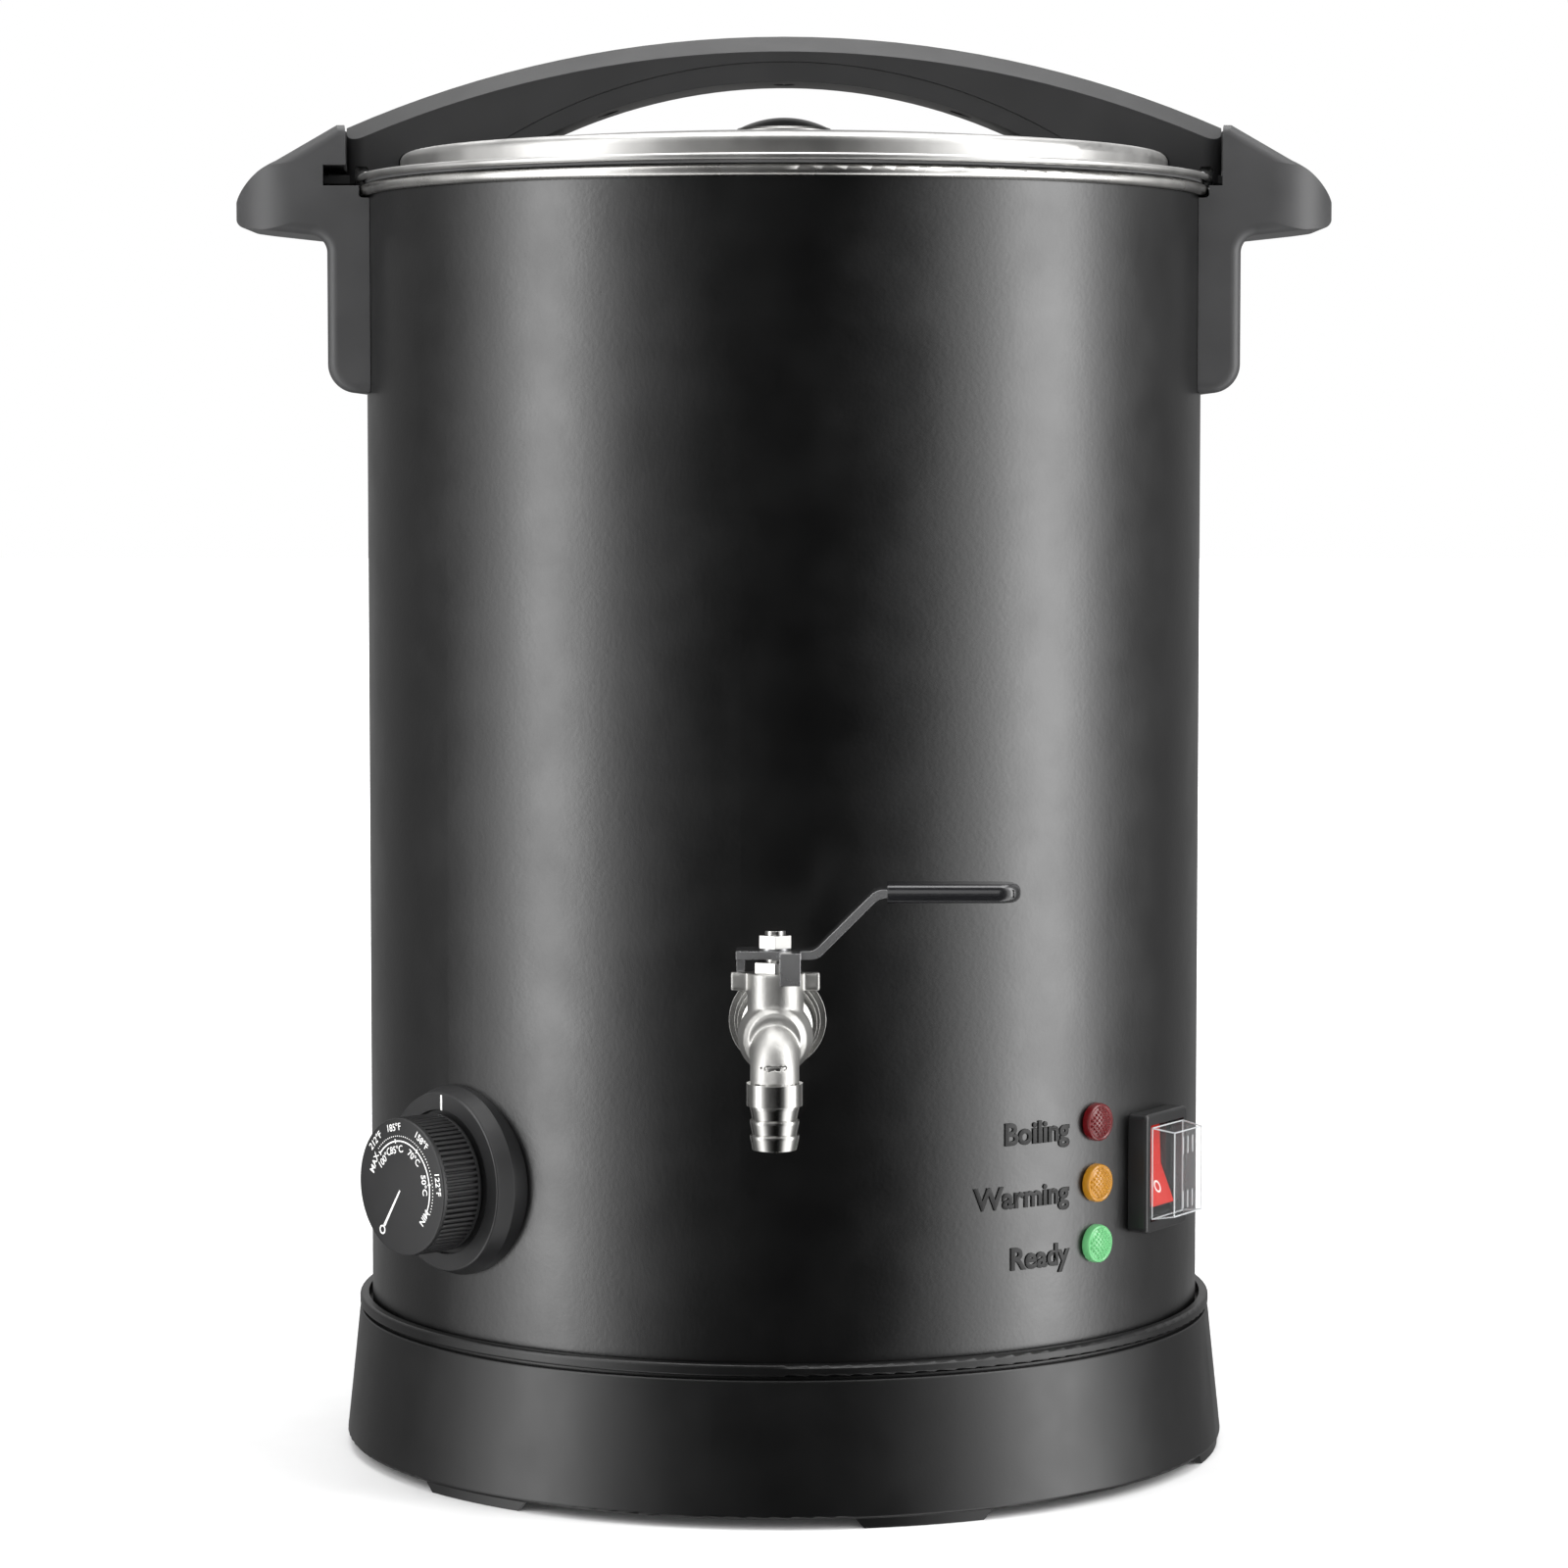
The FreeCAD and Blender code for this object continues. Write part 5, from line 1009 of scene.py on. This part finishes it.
    def build(self) -> None:
        """Make the knob, its ribs, its print and the index line."""
        deep = self.face - self.back
        wide, core, brow = self.radius, self.radius - 1.15, self.radius - 0.15
        corners = [
            (self.bore, 0.0),
            (wide - 0.6, 0.0),
            (wide, 0.6),
            (wide, 1.6),
            (core, 1.6),
            (core, deep - 1.5),
            (brow, deep - 1.5),
            (brow, deep),
            (0.0, deep),
            (0.0, deep - 3.0),
            (self.bore, deep - 3.0),
        ]
        knob = lathe(rounded(corners, {7: 0.5}, 4), 128)
        self.keep("knob_core", knob, Palette.KNOB, self.place(self.back), stands_for=("dial_knob",))
        middle = self.place((self.back + self.face) / 2)
        self.keep("knob_ribs", self.ribs(), Palette.KNOB, middle)
        self.keep("knob_print", self.print_face(), Palette.INK, self.place(self.face))
        line = self.stroke(0.0, 21.4, 26.0, 0.85, 0.85)
        self.keep("index_line", line, Palette.INK, self.place(137.0), Body.KETTLE)


@dataclass
class Lamp(Assembly):
    """Indicator lamp: round flange, domed lens and a field of small facets."""

    node: str = ""
    choice: Palette = Palette.RED
    azimuth: float = 45.3
    height: float = 94.3
    radius: float = 5.7
    proud: float = 3.6
    wall: float = 130.1
    depth: float = 22.0
    neck: float = 4.5
    dome: float = 4.6
    sag: float = 1.0

    def facets(self) -> bpy.types.Mesh:
        """Return small pyramids spread over the dome.

        Returns:
            The pyramids' mesh.
        """
        inner = self.radius - 1.2
        tree = Repeat("lens_facets", Count=9, Field=inner * 2, Facet=0.78, Rise=0.5, Dome=11.5)
        spread = {f"Size {side}": tree.size("Field") for side in "XY"}
        counts = {f"Vertices {side}": tree.size("Count") for side in "XY"}
        grid = tree.add("GeometryNodeMeshGrid", {**spread, **counts})
        spot = tree.add("GeometryNodeInputPosition").outputs[0]
        reach = tree.graph.length(spot)
        outside = tree.graph.maths("GREATER_THAN", reach, inner - 0.2)
        inputs = {"Geometry": grid.outputs[0], "Selection": outside}
        kept = tree.add("GeometryNodeDeleteGeometry", inputs, domain="POINT")
        radii = {"Radius Top": 0.0, "Radius Bottom": tree.size("Facet")}
        cone = tree.add("GeometryNodeMeshCone", {"Vertices": 4, **radii, "Depth": tree.size("Rise")})
        put = tree.put(kept.outputs[0], cone.outputs[0])
        real = tree.add("GeometryNodeRealizeInstances", {0: put})
        square = tree.graph.maths("MULTIPLY", reach, reach)
        sag = tree.graph.maths("DIVIDE", square, tree.graph.maths("MULTIPLY", tree.size("Dome"), -2.0))
        offset = tree.add("ShaderNodeCombineXYZ", {"Z": sag})
        bent = tree.add("GeometryNodeSetPosition", {"Geometry": real.outputs[0], "Offset": offset.outputs[0]})
        return tree.mesh(bent.outputs[0], self.choice)

    def build(self) -> None:
        """Make the lens with its body, and its facets."""
        top = self.proud - 0.35
        reaches = (self.dome, 3.8, 3.0, 2.2, 1.4, 0.7, 0.0)
        dome = [(reach, top - self.sag * (reach / self.dome) ** 2) for reach in reaches]
        body = [(0.0, -self.depth), (self.neck, -self.depth), (self.neck, 0.0)]
        flange = [(self.radius, 0.0), (self.radius, 1.6), (self.radius - 0.25, 2.25), (5.0, 2.45)]
        outline = [*body, *flange, *dome]
        place = on_wall(self.azimuth, self.height, self.wall)
        self.keep(f"{self.node}_lens", lathe(outline, 56), self.choice, place, stands_for=(self.node,))
        facets = self.facets()
        facets.transform(Matrix.Translation((0.0, 0.0, top - 0.12)) @ Matrix.Rotation(math.pi / 4, 4, "Z"))
        self.keep(f"{self.node}_facets", facets, self.choice, place, crease=5.0)


@dataclass
class Switch(Assembly):
    """Rocker switch in its frame under a clear ribbed cover."""

    nodes: ClassVar[dict[str, Palette]] = {
        "switch_frame": Palette.BEZEL,
        "switch_housing": Palette.SWITCH,
        "switch_rocker": Palette.ROCKER,
        "switch_cover": Palette.COVER,
        "switch_terminals": Palette.BRASS,
    }
    azimuth: float = 58.5
    height: float = 95.0
    cover_face: float = 142.6
    cover_rise: float = 8.2
    cover_depth: float = 6.9
    cover_half: float = 10.05
    cover_lean: float = 1.1
    cover_extra: float = 3.7
    # Radius of the tubes of painted highlight along the cover's edges.
    rim: float = 0.24
    bar_pitch: float = 3.1

    def bars(self) -> bpy.types.Mesh:
        """Return three upright bars side by side.

        Returns:
            The bars' mesh.
        """
        tree = Repeat("cover_bars", Count=3, Pitch=self.bar_pitch, Length=5.2, Bar=0.2)
        offset = tree.add("ShaderNodeCombineXYZ", {"X": tree.size("Pitch")})
        line = tree.add("GeometryNodeMeshLine", {"Count": tree.size("Count"), "Offset": offset.outputs[0]})
        half = tree.graph.maths("MULTIPLY", tree.size("Length"), 0.5)
        start = tree.add("ShaderNodeCombineXYZ", {"Y": half})
        end = tree.add("ShaderNodeCombineXYZ", {"Y": tree.graph.maths("MULTIPLY", half, -1.0)})
        inputs = {"Start": start.outputs[0], "End": end.outputs[0]}
        rail = tree.add("GeometryNodeCurvePrimitiveLine", inputs)
        inputs = {"Resolution": 10, "Radius": tree.size("Bar")}
        ring = tree.add("GeometryNodeCurvePrimitiveCircle", inputs)
        inputs = {"Curve": rail.outputs[0], "Profile Curve": ring.outputs[0], "Fill Caps": True}
        bar = tree.add("GeometryNodeCurveToMesh", inputs)
        # The bars are the cover's real ribs, drawn in its brighter copy: real ribs with a painted highlight.
        return tree.mesh(tree.put(line.outputs[0], bar.outputs[0]), Palette.COVER_EDGE)

    def edge_highlights(self) -> bpy.types.Mesh:
        """Return thin bright tubes along the cover's edges: painted highlights where the clear cover's edges
        catch the light.

        Returns:
            The highlights' mesh.
        """
        work = bmesh.new()
        foot, face = (self.cover_half, 0.0), (self.cover_half - self.cover_lean, self.cover_depth)
        loops = []
        for inset, level in (foot, face):
            wide, tall = inset, inset + self.cover_extra
            signs = ((-1, -1), (1, -1), (1, 1), (-1, 1))
            loops.append([Vector((x * wide, y * tall, level)) for x, y in signs])
        runs = [(loop[i], loop[(i + 1) % 4]) for loop in loops for i in range(4)]
        runs += list(zip(*loops))
        for start, end in runs:
            way = end - start
            turn = way.to_track_quat("Z", "Y").to_matrix().to_4x4()
            matrix = Matrix.Translation((start + end) / 2) @ turn
            sizes = {"radius1": self.rim, "radius2": self.rim, "depth": way.length}
            bmesh.ops.create_cone(work, cap_ends=True, segments=10, matrix=matrix, **sizes)
        return close(work, "cover_rims", 0.0)

    def build(self) -> None:
        """Make the painted highlights along the cover's edges, the cover's bars, and the rocker's two marks.
        """
        seat = on_wall(self.azimuth, self.height, self.cover_face - self.cover_depth)
        # Tubes of painted highlight along the cover's edges.
        self.keep("cover_rims", self.edge_highlights(), Palette.COVER_EDGE, seat)
        front = on_wall(self.azimuth, self.height, self.cover_face)
        for label, side in (("upper", 1), ("lower", -1)):
            place = front @ Matrix.Translation((-self.bar_pitch, side * self.cover_rise, -0.08))
            self.keep(f"cover_bars_{label}", self.bars(), Palette.COVER_EDGE, place)
        inward = -(on_wall(self.azimuth, 0.0).to_3x3() @ Vector((0.0, 0.0, 1.0))).normalized()
        for label, word, rise in (("on", "I", 5.6), ("off", "O", -5.6)):
            mark = lettering(word, 5.0, 0.06)
            mark.transform(on_wall(self.azimuth, self.height, 160.0) @ Matrix.Translation((0.0, rise, 0.0)))
            dropped_on(mark, "switch_rocker", inward, 0.00004)
            self.keep(f"rocker_mark_{label}", mark, Palette.MARK, body=Body.ROCKER)


@dataclass
class Inlet(Assembly):
    """Mains inlet at the back."""

    nodes: ClassVar[dict[str, Palette]] = {"mains_inlet": Palette.SWITCH, "inlet_pins": Palette.BRASS}


@dataclass
class Tap(Assembly):
    """Ball tap: bulkhead fittings, cast body and barb."""

    nodes: ClassVar[dict[str, Palette]] = {
        "tap_tailpiece": Palette.TURNED,
        "tap_washer": Palette.TURNED,
        "tap_backnut": Palette.TURNED,
        "hose_barb": Palette.TURNED,
        "gland_nut": Palette.TURNED,
        "tap_gasket": Palette.GASKET,
        "pot_gasket": Palette.GASKET,
        "ball_seats": Palette.SEAT,
    }
    voxel: float = 0.42
    softness: float = 0.5
    passes: int = 3
    crease: float = 80.0

    def build(self) -> None:
        """Make the cast body with the soft blends of a casting."""
        work = node_copy("tap_body")
        mesh = bpy.data.meshes.new("tap_body_cast")
        work.to_mesh(mesh)
        work.free()
        host = bpy.data.objects.new("tap_body_cast", mesh)
        remesh = host.modifiers.new("remesh", "REMESH")
        remesh.mode, remesh.voxel_size = "VOXEL", self.voxel * MM
        soft = host.modifiers.new("soften", "SMOOTH")
        soft.factor, soft.iterations = self.softness, self.passes
        self.keep("tap_body_cast", baked(host), Palette.CAST, stands_for=("tap_body",), crease=self.crease)


@dataclass
class Lever(Assembly):
    """Tap lever with its dipped sleeve, stem and nut."""

    nodes: ClassVar[dict[str, Palette]] = {
        "tap_lever": Palette.ZINC,
        "lever_sleeve": Palette.VINYL,
        "lever_washer": Palette.ZINC,
        "lever_nut": Palette.TURNED,
        "tap_stem": Palette.TURNED,
        "tap_ball": Palette.TURNED,
    }
    body: Body = Body.TAP_HANDLE


@dataclass
class Heater(Assembly):
    """Heating plate, element, cut-out and sensor under the pot."""

    nodes: ClassVar[dict[str, Palette]] = {
        "heat_plate": Palette.PLATE,
        "heating_element": Palette.ELEMENT,
        "thermal_cutout": Palette.SWITCHGEAR,
        "sensor_bulb": Palette.BRASS,
        "bulb_clip": Palette.ZINC,
    }


# ---------------------------------------------------------------- studio
@dataclass
class Studio:
    """Pale floor, soft boxes, a plain surround and the camera."""

    camera_spot: tuple[float, float, float] = (0.0, -1.4852, 0.3119)
    camera_dip: float = 4.056
    lens: float = 108.5
    surround_strength: float = 3.0
    surround_levels: tuple[Corner, ...] = (
        (-180.0, 0.14), (-123.0, 0.06), (-102.0, 0.07), (-84.0, 0.5), (-66.0, 1.0), (-51.0, 0.42),
        (-36.0, 0.09), (-20.0, 0.02), (0.0, 0.0), (20.0, 0.0), (38.0, 0.06), (52.0, 0.66),
        (69.0, 1.0), (86.0, 0.95), (103.0, 0.15), (125.0, 0.06), (180.0, 0.14),
    )

    def camera(self) -> None:
        """Make the camera at the viewing angle."""
        data = bpy.data.cameras.new("camera")
        data.lens, data.sensor_width, data.clip_end = self.lens, 36.0, 100.0
        camera = bpy.data.objects.new("camera", data)
        camera.location = self.camera_spot
        camera.rotation_euler = (math.radians(90 - self.camera_dip), 0.0, 0.0)
        bpy.context.scene.collection.objects.link(camera)
        bpy.context.scene.camera = camera

    def floor(self) -> None:
        """Make the pale floor."""
        mesh = bpy.data.meshes.new("floor")
        mesh.from_pydata([(-9, -6, 0), (9, -6, 0), (9, 12, 0), (-9, 12, 0)], [], [(0, 1, 2, 3)])
        floor = bpy.data.objects.new("floor", mesh)
        bpy.context.scene.collection.objects.link(floor)
        pale = PaleFloor("pale_floor", (0.86, 0.86, 0.86), 0.7, "", patch_spread=0.01, edge=0.0)
        mesh.materials.append(pale.material())
        floor.visible_glossy = False

    def soft_box(
        self, name: str, spot: Vector, target: Vector, size: Corner, power: float, glossy: bool = True
    ) -> bpy.types.Object:
        """Hang one rectangular light.

        Args:
            name: its name.
            spot: where it hangs.
            target: what it faces.
            size: width and height in metres.
            power: watts.
            glossy: whether shiny surfaces mirror it.

        Returns:
            The light.
        """
        data = bpy.data.lights.new(name, "AREA")
        data.shape, data.size, data.size_y, data.energy = "RECTANGLE", size[0], size[1], power
        light = bpy.data.objects.new(name, data)
        light.location = spot
        light.rotation_euler = (target - spot).to_track_quat("-Z", "Y").to_euler()
        light.visible_camera = False
        light.visible_glossy = glossy
        bpy.context.scene.collection.objects.link(light)
        return light

    def surround(self) -> None:
        """Make the surround: white where it is seen, dim in front and bright behind for reflections."""
        world = bpy.data.worlds.new("surround")
        bpy.context.scene.world = world
        world.use_nodes = True
        world.node_tree.nodes.clear()
        graph = Graph(world.node_tree)
        way = graph.add("ShaderNodeTexCoord").outputs["Generated"]
        split = graph.add("ShaderNodeSeparateXYZ", {"Vector": way})
        forward = graph.maths("MULTIPLY", split.outputs["Y"], -1.0)
        turn = graph.maths("ARCTAN2", split.outputs["X"], forward)
        round_it = graph.add("ShaderNodeValToRGB", {"Fac": graph.ranged(turn, 0.0, 1.0, -math.pi, math.pi)})
        stops = round_it.color_ramp.elements
        for place, (azimuth, grey) in enumerate(self.surround_levels):
            stop = stops[place] if place < 2 else stops.new(1.0)
            stop.position = azimuth / 360 + 0.5
            stop.color = (grey, grey, grey, 1.0)
        behind = graph.ranged(split.outputs["Y"], 0.03, 1.0, -0.2, 0.5)
        lift = graph.maths("MULTIPLY", graph.ranged(split.outputs["Z"], 0.0, 0.6, 0.05, 0.9), behind)
        around = graph.maths("MULTIPLY", round_it.outputs["Color"], self.surround_strength)
        level = graph.maths("ADD", around, lift)
        dim = graph.add("ShaderNodeBackground", {"Strength": level})
        white = graph.add("ShaderNodeBackground", {"Color": (1.0, 1.0, 1.0, 1.0), "Strength": 1.0})
        dim.inputs["Color"].default_value = (1.0, 1.0, 1.0, 1.0)
        seen = graph.add("ShaderNodeLightPath").outputs["Is Camera Ray"]
        mixed = graph.add("ShaderNodeMixShader", {0: seen, 1: dim.outputs[0], 2: white.outputs[0]})
        graph.add("ShaderNodeOutputWorld", {"Surface": mixed.outputs[0]})

    def build(self) -> None:
        """Set up the whole studio."""
        self.camera()
        self.floor()
        self.surround()
        middle = Vector((0.0, 0.0, 0.22))
        self.soft_box("left_box", Vector((-1.07, -0.56, 0.5)), middle, (0.42, 1.5), 6.0)
        self.soft_box("right_box", Vector((1.13, -0.38, 0.5)), middle, (0.5, 1.5), 8.0)
        self.soft_box("top_box", Vector((0.0, 0.15, 1.7)), middle, (1.4, 1.4), 22.0)
        self.soft_box("front_fill", Vector((0.0, -2.0, 0.9)), middle, (1.6, 1.6), 22.0, glossy=False)
        bpy.context.scene.view_settings.view_transform = "Standard"

    def metal_card(self, prefixes: tuple[str, ...]) -> None:
        """Hang a card that lights only some pieces.

        Args:
            prefixes: how the names of the lit pieces begin.
        """
        lit = bpy.data.collections.new("metal_card_lights")
        for item in bpy.data.objects:
            if item.type == "MESH" and item.name.startswith(prefixes):
                lit.objects.link(item)
        tap = Vector((0.0, -0.17, 0.15))
        card = self.soft_box("metal_card", Vector((-0.25, -1.3, 0.55)), tap, (0.9, 0.9), 3.4)
        card.light_linking.receiver_collection = lit


def main() -> None:
    """Build the studio and every sub-assembly, and report each one."""
    studio = Studio()
    studio.build()
    assemblies: list[Assembly] = [
        Drum(),
        Base(),
        Lid(),
        SideHandles(),
        Dial(),
        Lamp(node="lamp_red", choice=Palette.RED, height=112.5),
        Lamp(node="lamp_amber", choice=Palette.AMBER, height=94.3),
        Lamp(node="lamp_green", choice=Palette.GREEN, height=76.1),
        Switch(),
        Inlet(),
        Tap(),
        Lever(),
        Heater(),
        Screws(node="bottom_screws", head_radius=3.2),
        Screws(node="handle_screws", radial=True, head_radius=4.3, shank_radius=2.4, head_height=2.4),
        Screws(node="inlet_screws", axis=Vector((0.0, 1.0, 0.0)), head_radius=2.8, shank_radius=1.5),
        Screws(node="lid_screws", body=Body.LID, head_radius=3.6, shank_radius=2.0),
        Screws(node="grip_screws", body=Body.LID),
    ]
    for assembly in assemblies:
        assembly.build()
        assembly.dress()
        log.info("%s: %d pieces of its own", type(assembly).__name__, len(assembly.made))
    studio.metal_card(("tap_", "hose_", "gland_", "lever_"))


if __name__ == "__main__":
    main()
